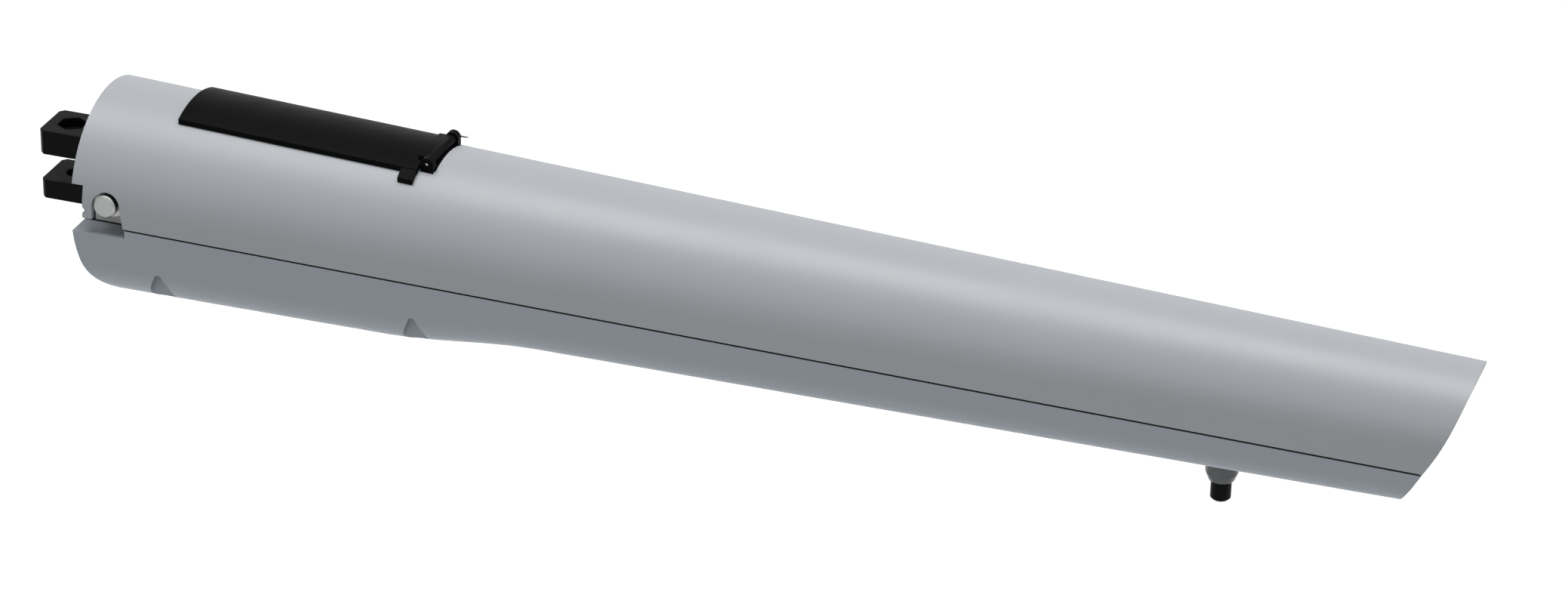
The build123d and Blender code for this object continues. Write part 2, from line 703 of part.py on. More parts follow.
def layshaft():
    """Shaft of the intermediate wheel and pinion."""
    return rod_x(LAYSHAFT_RADIUS, CASE_X[0] + 0.8, CASE_X[2] + 2.2, LAYSHAFT_Y, LAYSHAFT_Z)


def first_wheel():
    """Wheel driven by the motor pinion."""
    half_tooth = 180.0 / WHEEL_TEETH
    turn = LAYSHAFT_ANGLE + 180 + half_tooth
    body = gear(WHEEL_TEETH, WHEEL_ADDENDUM, STAGE_ONE_X[0], STAGE_ONE_X[1], LAYSHAFT_Y, LAYSHAFT_Z, turn)
    for i in range(5):
        hole = rod_x(2.6, 150, 157, 0, 11.2)
        body -= Pos(0, LAYSHAFT_Y, LAYSHAFT_Z) * Rot(72 * i, 0, 0) * hole
    return body - rod_x(LAYSHAFT_RADIUS + FIT, 140, 200, LAYSHAFT_Y, LAYSHAFT_Z)


def second_pinion():
    """Pinion that drives the output gear."""
    x0, x1 = STAGE_TWO_X
    body = gear(PINION_TEETH, PINION_ADDENDUM, x0 - 0.3, x1 + 0.3, LAYSHAFT_Y, LAYSHAFT_Z, LAYSHAFT_ANGLE + 180)
    return body - rod_x(LAYSHAFT_RADIUS + FIT, 140, 200, LAYSHAFT_Y, LAYSHAFT_Z)


def layshaft_bushes():
    """Plain bushes at the layshaft's ends."""
    ends = ((CASE_X[0] + 0.8, CASE_X[1] + 0.4), (CASE_X[2] - 2.2, CASE_X[2] + 2.2))
    return many([tube_x(LAYSHAFT_RADIUS + 1.8, LAYSHAFT_RADIUS + RUN, x0, x1, LAYSHAFT_Y, LAYSHAFT_Z)
                 for x0, x1 in ends])


def dog_sectors(x0, x1, span, turn):
    """Four dogs of a face clutch as ring sectors."""
    ring = tube_x(DOG_RADII[1], DOG_RADII[0], x0, x1, 0, 0)
    sector = make_face(Polyline((0, 0), (20 * cos(radians(span / 2)), -20 * sin(radians(span / 2))),
                                (20 * cos(radians(span / 2)), 20 * sin(radians(span / 2))), (0, 0)))
    dogs = None
    for i in range(4):
        wedge = extrude(station(x0 - 1) * Rot(0, 0, turn + 90 * i) * sector, amount=x1 - x0 + 2)
        piece = ring & wedge
        dogs = piece if dogs is None else dogs + piece
    return Pos(0, 0, SCREW_Z) * dogs


def output_gear():
    """Output gear with dogs on its rear face, free on the screw until the ring engages."""
    x0, x1 = STAGE_TWO_X
    half_tooth = 180.0 / WHEEL_TEETH
    body = gear(WHEEL_TEETH, WHEEL_ADDENDUM, x0, x1, 0, SCREW_Z, LAYSHAFT_ANGLE + half_tooth)
    body += dog_sectors(x0 - DOG_LENGTH, x0 + 0.5, 38.0, 0.0)
    body += rod_x(11.0, x1 - 0.5, x1 + 3.0, 0, SCREW_Z)
    return body - rod_x(8.6 + FIT, x0 - 10, x1 + 10, 0, SCREW_Z)


def gear_bush():
    """Bush pressed in the output gear, running on the screw's journal."""
    return tube_x(8.6, 7.0 + RUN, STAGE_TWO_X[0], STAGE_TWO_X[1] + 3.0, 0, SCREW_Z)


def dog_clutch():
    """Sliding clutch ring on the screw's hexagon, with its groove and dogs."""
    body = rod_x(RING_RADIUS, RING_X[0], RING_X[1], 0, SCREW_Z)
    body -= tube_x(RING_RADIUS + 1, 11.0, RING_GROOVE[0], RING_GROOVE[1], 0, SCREW_Z)
    body += dog_sectors(RING_X[1] - 0.5, RING_X[1] + DOG_LENGTH, 38.0, 45.0)
    return body - hex_x(HEX_ACROSS + 0.3, 150, 180, 0, SCREW_Z)


# Release


def shift_fork():
    """Fork in the ring's groove, with its stem, slotted top plate and guide sleeve."""
    x0, x1 = RING_GROOVE[0] + GAP, RING_GROOVE[1] - GAP
    arms = tube_x(17.4, 11.4, x0, x1, 0, SCREW_Z)
    arms -= box(x0 - 1, x1 + 1, -10.5, 10.5, SCREW_Z - 30, SCREW_Z)
    body = arms + box(x0, x1, -3.6, 3.6, SCREW_Z + 12, 21.0)
    body += box(160.0, 169.6, -3.6, 8.4, 20.4, 24.6)
    body += rod_x(4.4, x0 - 1.5, x1 + 1.5, *ROD_PLACE)
    body -= rod_x(2.5 + RUN, 150, 180, *ROD_PLACE)
    slot_x = KNOB_X + KNOB_THROW * cos(radians(45))
    body -= box(slot_x - 2.2, slot_x + 2.2, -1.0, 6.0, 21.0, 30)
    return body


def fork_rod():
    """Guide rod of the shift fork, held in the gearbox lid."""
    return rod_x(2.5, 157.4, CASE_X[3] - 0.5, *ROD_PLACE)


def release_knob():
    """Release knob in the pocket with its spindle and eccentric pin."""
    body = rod_z(12.6, 31.0, 33.2, KNOB_X, 0)
    body += box(KNOB_X - 11.5, KNOB_X + 11.5, -3.0, 3.0, 33.0, 37.6) & rod_z(12.0, 30, 40, KNOB_X, 0)
    body += rod_z(KNOB_SPINDLE, 25.4, 31.2, KNOB_X, 0)
    a = radians(45)
    body += rod_z(2.0, 21.6, 26.0, KNOB_X + KNOB_THROW * cos(a), KNOB_THROW * sin(a))
    return body


def release_frame():
    """Frame set in the cover's opening: pocket, under-flange, hinge lugs and hinge groove."""
    x0, x1 = OPENING_X[0] + 0.4, OPENING_X[1] - 0.4
    y = OPENING_HALF_WIDTH - 0.4
    z0, z1 = POCKET_FLOOR_Z
    body = box(x0, x1, -y, y, z0, 60) & crown_body(x0 - 5, x1 + 5, 0.0)
    body += box(x0 - 6, x1 + 4, -22.5, 22.5, z0, z1) & crown_body(x0 - 10, x1 + 10, WALL + 1.0)
    body -= box(x0 + 2, 189.0, 2 - y, y - 2, z1, 60)
    for s in (-1, 1):
        y0, y1 = sorted((s * 13.9, s * 17.6))
        lug = box(HINGE_X - 3.4, HINGE_X + 3.4, y0, y1, 35.0, HINGE_Z + 0.1)
        lug += rod_y(3.4, y0, y1, HINGE_X, HINGE_Z)
        body += lug - crown_body(150, 250, -0.02) + (lug & box(150, 250, -15.5, 15.5, 30, 60))
    body -= rod_y(3.2, -13.7, 13.7, HINGE_X, HINGE_Z)
    body -= box(HINGE_X - 5.2, HINGE_X, -13.7, 13.7, HINGE_Z - 3.2, 60)
    body -= rod_y(WIRE_RADIUS + FIT, -30, 30, HINGE_X, HINGE_Z)
    body -= rod_z(KNOB_SPINDLE + RUN, z0 - 1, z1 + 2, KNOB_X, 0)
    return drilled(body, 1.9, z0 - 1, z1 + 1, both_sides(((80.0, 19.5), (196.0, 19.5))))


def release_cap():
    """Arched cap over the pocket, with side ears and hinge knuckle."""
    low, high = CAP_LIFT
    slab = crown_body(CAP_X[0], CAP_X[1], -high) - crown_body(CAP_X[0] - 5, CAP_X[1] + 5, -low)
    body = slab & box(CAP_X[0] - 1, CAP_X[1] + 1, -CAP_HALF_WIDTH, CAP_HALF_WIDTH, 20, 60)
    ears = crown_body(180, 200, -2.4) - crown_body(178, 202, -low)
    for s in (-1, 1):
        y0, y1 = sorted((s * (CAP_HALF_WIDTH - 1), s * 25.5))
        body += ears & box(186.0, 193.8, y0, y1, 20, 60)
    knuckle = rod_y(HINGE_RADIUS, -13.4, 13.4, HINGE_X, HINGE_Z)
    web = box(CAP_X[1] - 2, HINGE_X, -13.4, 13.4, HINGE_Z + 0.6, HINGE_Z + 2.3)
    body += knuckle + web
    body += box(84, 146, -12.0, -10.4, 36.4, 41) & crown_body(80, 190, -0.6)
    body += box(84, 146, 10.4, 12.0, 36.4, 41) & crown_body(80, 190, -0.6)
    return body - rod_y(WIRE_RADIUS + RUN, -20, 20, HINGE_X, HINGE_Z)


def cap_hinge_wire():
    """Wire pin of the cap's hinge with its bent end."""
    wire = rod_y(WIRE_RADIUS, -17.0, 19.2, HINGE_X, HINGE_Z)
    wire += rod_x(WIRE_RADIUS, HINGE_X, HINGE_X + 6.5, 18.9, HINGE_Z)
    return wire


# Gearbox case


def case_outline(inset):
    """Outline of the gearbox: two circles round the shafts, bridged."""
    r0 = CASE_RADIUS[0] - inset
    r1 = CASE_RADIUS[1] - inset
    bridge = Pos(LAYSHAFT_Y / 2, (SCREW_Z + LAYSHAFT_Z) / 2) * Rot(0, 0, LAYSHAFT_ANGLE) * Rectangle(GEAR_CENTRES, 2 * r1)
    return Pos(0, SCREW_Z) * Circle(r0) + Pos(LAYSHAFT_Y, LAYSHAFT_Z) * Circle(r1) + bridge


def gearbox_case():
    """Gearbox case with feet and a window for the shift fork."""
    body = extrude(station(CASE_X[0]) * case_outline(0), amount=CASE_X[2] - CASE_X[0])
    for x, y in case_screw_places():
        s = 1 if y > 0 else -1
        y0, y1 = sorted((s * 10.0, s * 34.0))
        body += box(x - 6, x + 6, y0, y1, -39.5, -35.5)
    body += box(CASE_X[0] + 4, CASE_X[2], -20, 20, -39.5, -30)
    body -= extrude(station(CASE_X[1]) * case_outline(CASE_WALL), amount=60)
    body -= rod_x(8.4, 140, 160, 0, SCREW_Z)
    body -= rod_x(LAYSHAFT_RADIUS + 1.8 + FIT, CASE_X[0] + 0.6, 160, LAYSHAFT_Y, LAYSHAFT_Z)
    body -= box(154.8, 171.0, -4.6, 10.0, 4, 40)
    return drilled(body, 2.8, -45, -34, case_screw_places())


def lid_screw_places():
    """Angles of the lid's screws about the screw axis and about the layshaft."""
    return ((0, -12.0, 22.7, 0), (0, -12.0, 22.7, -45), (0, -12.0, 22.7, -90), (0, -12.0, 22.7, -135),
            (LAYSHAFT_Y, LAYSHAFT_Z, 20.6, 120), (LAYSHAFT_Y, LAYSHAFT_Z, 20.6, 150))


def gearbox_lid():
    """Gearbox lid with the screw's bearing housing."""
    body = extrude(station(CASE_X[2]) * case_outline(0), amount=CASE_X[3] - CASE_X[2])
    x0, x1, outer, inner = REAR_BEARING
    body += rod_x(outer + 3.5, CASE_X[3] - 1, x1 + 2.0, 0, SCREW_Z)
    body -= rod_x(outer + FIT, x0, x1 + 0.1, 0, SCREW_Z)
    body -= rod_x(outer - 2.5, x0, x1 + 5, 0, SCREW_Z)
    body -= rod_x(11.6, CASE_X[2] - 1, x0 + 1, 0, SCREW_Z)
    body -= rod_x(LAYSHAFT_RADIUS + 1.8 + FIT, CASE_X[2] - 1, CASE_X[2] + 2.4, LAYSHAFT_Y, LAYSHAFT_Z)
    body -= rod_x(2.5 + FIT, CASE_X[2] - 1, CASE_X[3] - 0.4, *ROD_PLACE)
    return body


def lid_screws():
    """Screw heads of the gearbox lid."""
    shapes = []
    for y, z, r, a in lid_screw_places():
        cy = y + r * cos(radians(a))
        cz = z + r * sin(radians(a))
        head = rod_x(1.2, CASE_X[3], CASE_X[3] + 1.4, cy, cz)
        shapes.append(head)
    return many(shapes)


# Screw, bearings and guide


def lead_screw():
    """Lead screw with its hexagon, journals and collar; the thread belongs to the looks."""
    b = REAR_BEARING
    f = FRONT_BEARING
    body = hex_x(HEX_ACROSS, 156.9, STAGE_TWO_X[0] - 0.4, 0, SCREW_Z)
    body += rod_x(7.0, STAGE_TWO_X[0] - 0.4, b[0] - 1.0, 0, SCREW_Z)
    body += rod_x(b[3], b[0] - 1.0, b[1] + 0.6, 0, SCREW_Z)
    body += rod_x(9.6, b[1] + 0.6, b[1] + 4.6, 0, SCREW_Z)
    body += rod_x(SCREW_RADIUS, b[1] + 4.6, f[0] - 4.0, 0, SCREW_Z)
    body += rod_x(8.2, f[0] - 4.0, f[0] - 0.6, 0, SCREW_Z)
    body += rod_x(f[3], f[0] - 0.6, f[1] + 4.0, 0, SCREW_Z)
    return body


def bearing_inner_rings():
    """Inner rings of the screw's bearings."""
    rings = []
    for x0, x1, outer, inner in (REAR_BEARING, FRONT_BEARING):
        rings.append(tube_x(inner + 3.0, inner + FIT, x0, x1, 0, SCREW_Z))
    return many(rings)


def bearing_outer(place):
    """Outer ring with shields of one bearing."""
    x0, x1, outer, inner = place
    body = tube_x(outer, inner + 3.35, x0, x1, 0, SCREW_Z)
    body -= tube_x(outer - 2.0, inner + 1.0, x0 - 1, x0 + 0.5, 0, SCREW_Z)
    return body - tube_x(outer - 2.0, inner + 1.0, x1 - 0.5, x1 + 1, 0, SCREW_Z)


def front_block():
    """Front bearing block."""
    x0, x1 = FRONT_BLOCK_X
    body = box(x0, x1, -21, 21, RAIL_Z[0], 5.0)
    body = chamfer(body.edges().filter_by(Axis.X).group_by(Axis.Z)[-1], 5.0)
    f = FRONT_BEARING
    body -= rod_x(f[2] + FIT, f[0], f[1], 0, SCREW_Z)
    body -= rod_x(f[2] - 2.0, x0 - 1, f[0] + 1, 0, SCREW_Z)
    body -= rod_x(8.6, x0 - 1, x1 + 1, 0, SCREW_Z)
    body -= box(x0 - 1, x1 + 1, -8, 8, -60, -31)
    for s in (-1, 1):
        y0, y1 = sorted((s * 11.6, s * 30))
        body -= box(x0 - 1, x0 + 4, y0, y1, -24, 10)
    body = drilled(body, 2.3, -60, 30, front_block_places())
    return drilled(body, 4.4, -4.0, 30, front_block_places())


def front_block_screws():
    """Screws of the front block."""
    return head_screws(front_block_places(), -4.0, 4.0, 4.0, 2.0, -38.0)


def guide_rail():
    """Channel rail with inward lips and the slot for the pin."""
    x0, x1 = RAIL_X
    w = RAIL_HALF_WIDTH
    body = box(x0, x1, -w, w, RAIL_Z[0], RAIL_LIP_Z[1])
    body = chamfer(body.edges().filter_by(Axis.X).group_by(Axis.Z)[0], 1.3)
    body -= box(x0 - 1, x1 + 1, RAIL_WALL - w, w - RAIL_WALL, RAIL_Z[1], RAIL_LIP_Z[0])
    body -= box(x0 - 1, x1 + 1, -17.3, 17.3, RAIL_LIP_Z[0] - 1, 0)
    rear = PIN_X + TRAVEL[0] - COLLAR_RADIUS - 4
    front = PIN_X + TRAVEL[1] + COLLAR_RADIUS + 4
    body -= box(rear, front, 1 - SLOT_HALF_WIDTH, SLOT_HALF_WIDTH - 1, -60, RAIL_Z[1] + 1)
    body = drilled(body, 2.1, -60, -30, rail_screw_places())
    for x in (STOP_REAR_X, STOP_FRONT_X):
        body = drilled(body, 1.9, -60, -30, stop_places(x))
    for x, y in rail_screw_places():
        body -= Pos(x, y, RAIL_Z[1] - 0.9) * Cone(2.1, 3.95, 1.8)
    return body


def rail_screws():
    """Countersunk screws of the rail."""
    shapes = []
    for x, y in rail_screw_places():
        head = Pos(x, y, RAIL_Z[1] - 1.0) * Cone(1.6, 3.6, 1.8)
        head += rod_z(1.6, -38.5, RAIL_Z[1] - 1.0, x, y)
        head -= Pos(x, y, RAIL_Z[1] - 1.2) * extrude(RegularPolygon(1.5, 6), amount=3)
        shapes.append(head)
    return many(shapes)


def travel_stops():
    """Rear and front stop blocks on the rail."""
    shapes = []
    for x in (STOP_REAR_X, STOP_FRONT_X):
        block = box(x - 5.5, x + 5.5, -16.4, 16.4, RAIL_Z[1] + 0.2, -1.0)
        block = chamfer(block.edges().filter_by(Axis.X).group_by(Axis.Z)[-1], 3.0)
        block -= rod_x(9.6, x - 10, x + 10, 0, SCREW_Z)
        block = drilled(block, 2.3, -60, 10, stop_places(x))
        block = drilled(block, 3.2, -8.0, 10, stop_places(x))
        shapes.append(block)
    return many(shapes)


def stop_screws():
    """Screws of the travel stops."""
    places = stop_places(STOP_REAR_X) + stop_places(STOP_FRONT_X)
    return head_screws(places, -8.0, 2.9, 3.0, 1.5, -36.0)


def stop_buffers():
    """Rubber buffer rings on the stops."""
    rear = tube_x(15.0, 9.6, STOP_REAR_X + 5.5, STOP_REAR_X + 11.5, 0, SCREW_Z)
    front = tube_x(15.0, 9.6, STOP_FRONT_X - 11.5, STOP_FRONT_X - 5.5, 0, SCREW_Z)
    return many([rear, front])


def slot_seals():
    """Lips along both sides of the pin's slot."""
    x0 = PIN_X + TRAVEL[0] - 1
    x1 = PIN_X + TRAVEL[1] + 1
    return many([box(x0, x1, s * 9.1 - 0.6, s * 9.1 + 0.6, UNDERSIDE_Z + 0.2, UNDERSIDE_Z + WALL) for s in (-1, 1)])


def carriage():
    """Carriage block that holds the nut and the front pin."""
    x0, x1 = PIN_X - 30, PIN_X + 27
    body = box(x0, x1, -CARRIAGE_HALF_WIDTH, CARRIAGE_HALF_WIDTH, -32.0, 3.0)
    body = chamfer(body.edges().filter_by(Axis.X).group_by(Axis.Z)[-1], 5.0)
    body -= rod_x(NUT_RADIUS + FIT, x0 - 1, x1 - 4, 0, SCREW_Z)
    body -= rod_x(9.6, x0, x1 + 1, 0, SCREW_Z)
    for s in (-1, 1):
        y0, y1 = sorted((s * (CARRIAGE_HALF_WIDTH - 1), s * 20.0))
        body += box(x0 + 4, x1 - 4, y0, y1, -29.5, -23.5)
    body += rod_z(11.0, -33.2, -31.0, PIN_X, 0) & box(x0, x1, -8.4, 8.4, -40, -20)
    return body - rod_z(PIN_SHANK_RADIUS + FIT, -60, SCREW_Z - NUT_RADIUS - 1.0, PIN_X, 0)


def bronze_nut():
    """Flanged bronze nut around the screw."""
    x0, x1 = PIN_X - 34, PIN_X + 22.5
    body = rod_x(NUT_RADIUS, x0, x1, 0, SCREW_Z) + rod_x(15.5, x0, PIN_X - 30, 0, SCREW_Z)
    return body - rod_x(THREAD_RADIUS + FIT, x0 - 1, x1 + 1, 0, SCREW_Z)


def slide_shoes():
    """Polymer shoes on the carriage's rails."""
    shapes = []
    for s in (-1, 1):
        for x in (PIN_X - 25.5, PIN_X + 10.5):
            y0, y1 = sorted((s * (CARRIAGE_HALF_WIDTH + 0.1), s * 20.4))
            shoe = box(x, x + 12, y0, y1, -33.1, -20.3)
            y2, y3 = sorted((s * (CARRIAGE_HALF_WIDTH - 1), s * 20.05))
            shapes.append(shoe - box(x - 1, x + 13, y2, y3, -29.55, -23.45))
    return many(shapes)


def front_pin():
    """Front pin that carries the gate's bracket."""
    pin = rod_z(PIN_RADIUS, PIN_BOTTOM_Z, COLLAR_Z[1], PIN_X, 0)
    pin += rod_z(PIN_SHANK_RADIUS, COLLAR_Z[1] - GAP, SCREW_Z - NUT_RADIUS - 1.4, PIN_X, 0)
    pin -= tube_z(PIN_RADIUS + 1, PIN_RADIUS - 0.4, COLLAR_Z[1] - GAP - 0.5, COLLAR_Z[1] - GAP, PIN_X, 0)
    return chamfer(pin.edges().filter_by(GeomType.CIRCLE).group_by(Axis.Z)[0], 1.2)


def pin_collar():
    """Spacer collar on the front pin with a conical underside."""
    body = rod_z(COLLAR_RADIUS, COLLAR_Z[0], -33.4, PIN_X, 0)
    height = COLLAR_Z[0] - COLLAR_Z[1]
    body += Pos(PIN_X, 0, (COLLAR_Z[0] + COLLAR_Z[1]) / 2) * Cone(PIN_SHANK_RADIUS + 0.7, COLLAR_RADIUS, height)
    return body - rod_z(PIN_SHANK_RADIUS + FIT, -80, 0, PIN_X, 0)


def cover_screws():
    """Screws that pull the two covers together."""
    side = head_screws(both_sides(COVER_SCREWS), RECESS_CEILING_Z, 4.4, 4.6, 2.3, 8.0, up=-1)
    nose = head_screws(both_sides((NOSE_SCREW,)), -34.5, 3.5, 3.2, 1.8, -14.0, up=-1)
    return many([side, nose])


def carrier_screws():
    """Screws of the rear carrier."""
    return head_screws(carrier_screw_places(), -34.5, 4.3, 4.0, 2.0, -43.0)


def case_screws():
    """Screws of the gearbox feet."""
    return head_screws(case_screw_places(), -35.5, 4.3, 4.0, 2.0, -43.0)


def frame_screws():
    """Screws that hold the release frame under the cover."""
    places = both_sides(((80.0, 19.5), (196.0, 19.5)))
    return head_screws(places, POCKET_FLOOR_Z[0], 2.8, 2.4, 1.4, POCKET_FLOOR_Z[1] + 4.0, up=-1)


NODES = {
    "upper_cover": upper_cover,
    "lower_cover": lower_cover,
    "cover_screws": cover_screws,
    "rear_carrier": rear_carrier,
    "carrier_screws": carrier_screws,
    "cross_pin": cross_pin,
    "rear_fork": rear_fork,
    "fork_bush": fork_bush,
    "cable_gland": cable_gland,
    "terminal_block": terminal_block,
    "motor_can": motor_can,
    "motor_flange": motor_flange,
    "motor_end_cap": motor_end_cap,
    "motor_bearings": motor_bearings,
    "motor_magnets": motor_magnets,
    "armature": armature,
    "commutator": commutator,
    "brush_holders": brush_holders,
    "carbon_brushes": carbon_brushes,
    "motor_shaft": motor_shaft,
    "motor_saddle": motor_saddle,
    "motor_pinion": motor_pinion,
    "layshaft": layshaft,
    "first_wheel": first_wheel,
    "second_pinion": second_pinion,
    "layshaft_bushes": layshaft_bushes,
    "output_gear": output_gear,
    "gear_bush": gear_bush,
    "dog_clutch": dog_clutch,
    "shift_fork": shift_fork,
    "fork_rod": fork_rod,
    "release_knob": release_knob,
    "release_frame": release_frame,
    "frame_screws": frame_screws,
    "release_cap": release_cap,
    "cap_hinge_wire": cap_hinge_wire,
    "gearbox_case": gearbox_case,
    "gearbox_lid": gearbox_lid,
    "lid_screws": lid_screws,
    "case_screws": case_screws,
    "lead_screw": lead_screw,
    "bearing_inner_rings": bearing_inner_rings,
    "rear_bearing": lambda: bearing_outer(REAR_BEARING),
    "front_bearing": lambda: bearing_outer(FRONT_BEARING),
    "front_block": front_block,
    "front_block_screws": front_block_screws,
    "guide_rail": guide_rail,
    "rail_screws": rail_screws,
    "travel_stops": travel_stops,
    "stop_screws": stop_screws,
    "stop_buffers": stop_buffers,
    "slot_seals": slot_seals,
    "carriage": carriage,
    "bronze_nut": bronze_nut,
    "slide_shoes": slide_shoes,
    "front_pin": front_pin,
    "pin_collar": pin_collar,
}

os.makedirs("parts", exist_ok=True)
for node, make in NODES.items():
    export_step(make(), "parts/" + node + ".step")
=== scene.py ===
"""Looks of a swing gate opener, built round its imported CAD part. Metres, in the part's own frame.

The frame's origin is on the rear fork's vertical pivot.
+X runs to the nose, +Y away from the usual viewer, +Z up.
"""

import json
import logging
import math
from dataclasses import dataclass, field
from enum import Enum

import bmesh
import bpy
from mathutils import Matrix, Vector


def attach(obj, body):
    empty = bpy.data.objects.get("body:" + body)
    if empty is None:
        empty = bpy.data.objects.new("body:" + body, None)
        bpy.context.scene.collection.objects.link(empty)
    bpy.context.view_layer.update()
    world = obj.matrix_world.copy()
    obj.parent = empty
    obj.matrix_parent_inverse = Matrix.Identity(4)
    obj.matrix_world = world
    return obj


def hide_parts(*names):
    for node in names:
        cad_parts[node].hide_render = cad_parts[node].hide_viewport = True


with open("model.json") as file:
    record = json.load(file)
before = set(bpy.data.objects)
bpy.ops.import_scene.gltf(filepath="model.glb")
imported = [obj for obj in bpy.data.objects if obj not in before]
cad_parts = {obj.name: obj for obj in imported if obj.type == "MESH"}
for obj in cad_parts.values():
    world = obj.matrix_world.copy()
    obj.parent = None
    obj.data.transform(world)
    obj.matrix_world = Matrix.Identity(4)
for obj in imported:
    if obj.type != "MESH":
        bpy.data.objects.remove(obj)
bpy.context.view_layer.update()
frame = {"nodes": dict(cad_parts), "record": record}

log = logging.getLogger("gate_opener")
MM = 0.001
MM_PER_METRE = 1000

Piece = bpy.types.Object
Socket = bpy.types.NodeSocket
Tree = bpy.types.NodeTree
ShapeTree = bpy.types.GeometryNodeTree
Pair = tuple[float, float]
Triple = tuple[float, float, float]

# Noise of the broad patches: its layers, their share, and the part of its output with most values.
BROAD_DETAIL = 3.0
BROAD_SHARE = 0.55
BROAD_RANGE = (0.3, 0.7)
# Layers of the fine grain's noise.
GRAIN_DETAIL = 2.0
# Points this close, in metres, are one point of a CAD mesh.
MERGE_DISTANCE = 1e-6
# Faces that meet below the first angle are one flat face, below the second one smooth curve.
FLAT_ANGLE = math.radians(0.4)
SMOOTH_ANGLE = math.radians(32)
# Edges sharper than this are rounded.
ROUNDED_ANGLE = math.radians(38)
# Straight pieces that a rounded edge is made of.
ROUNDED_STEPS = 2
# How much the larger faces count in the shading of an edge, in per cent.
EVEN_WEIGHT = 80
# Least cosine between a face and the exact surface that it is a part of.
HULL_FACING = 0.985
TUB_FACING = 0.93
# How far, in millimetres, a face's middle may lie from the hull's surface.
HULL_MISS_MM = 0.6


# Small helpers


def mm(*values: float) -> Vector:
    """Point given in millimetres, as metres."""
    return Vector(values) * MM


def linear(hex_colour: str) -> tuple[float, float, float, float]:
    """Turns an sRGB hex colour to linear values with alpha.

    Args:
        hex_colour: Six hex digits, with or without a leading hash.

    Returns:
        Red, green, blue and alpha in linear light.
    """
    digits = hex_colour.lstrip("#")
    channels = [int(digits[i : i + 2], 16) / 255 for i in (0, 2, 4)]
    light = [c / 12.92 if c <= 0.04045 else ((c + 0.055) / 1.055) ** 2.4 for c in channels]
    return (*light, 1.0)


def add_node(
    tree: Tree,
    kind: str,
    settings: dict | None = None,
    links: dict | None = None,
    **attributes: object,
) -> bpy.types.Node:
    """Adds one node with its socket values, links and attributes.

    Args:
        tree: Tree that gets the node.
        kind: Node type's name.
        settings: Input socket name or index to value.
        links: Input socket name or index to the output socket that feeds it.
        attributes: Properties of the node itself.

    Returns:
        The new node.
    """
    node = tree.nodes.new(kind)
    for name, value in attributes.items():
        setattr(node, name, value)
    for socket, value in (settings or {}).items():
        node.inputs[socket].default_value = value
    for socket, source in (links or {}).items():
        tree.links.new(source, node.inputs[socket])
    return node


# Finishes


class Grain(Enum):
    """Kinds of fine surface relief."""

    ORANGE_PEEL = "sprayed paint's low rounded waves"
    SPARK = "fine pits of a spark-eroded mould"
    TURNED = "rings from a lathe, round X"
    DRAWN = "lines drawn along X"
    CAST = "sandy skin of a die casting"


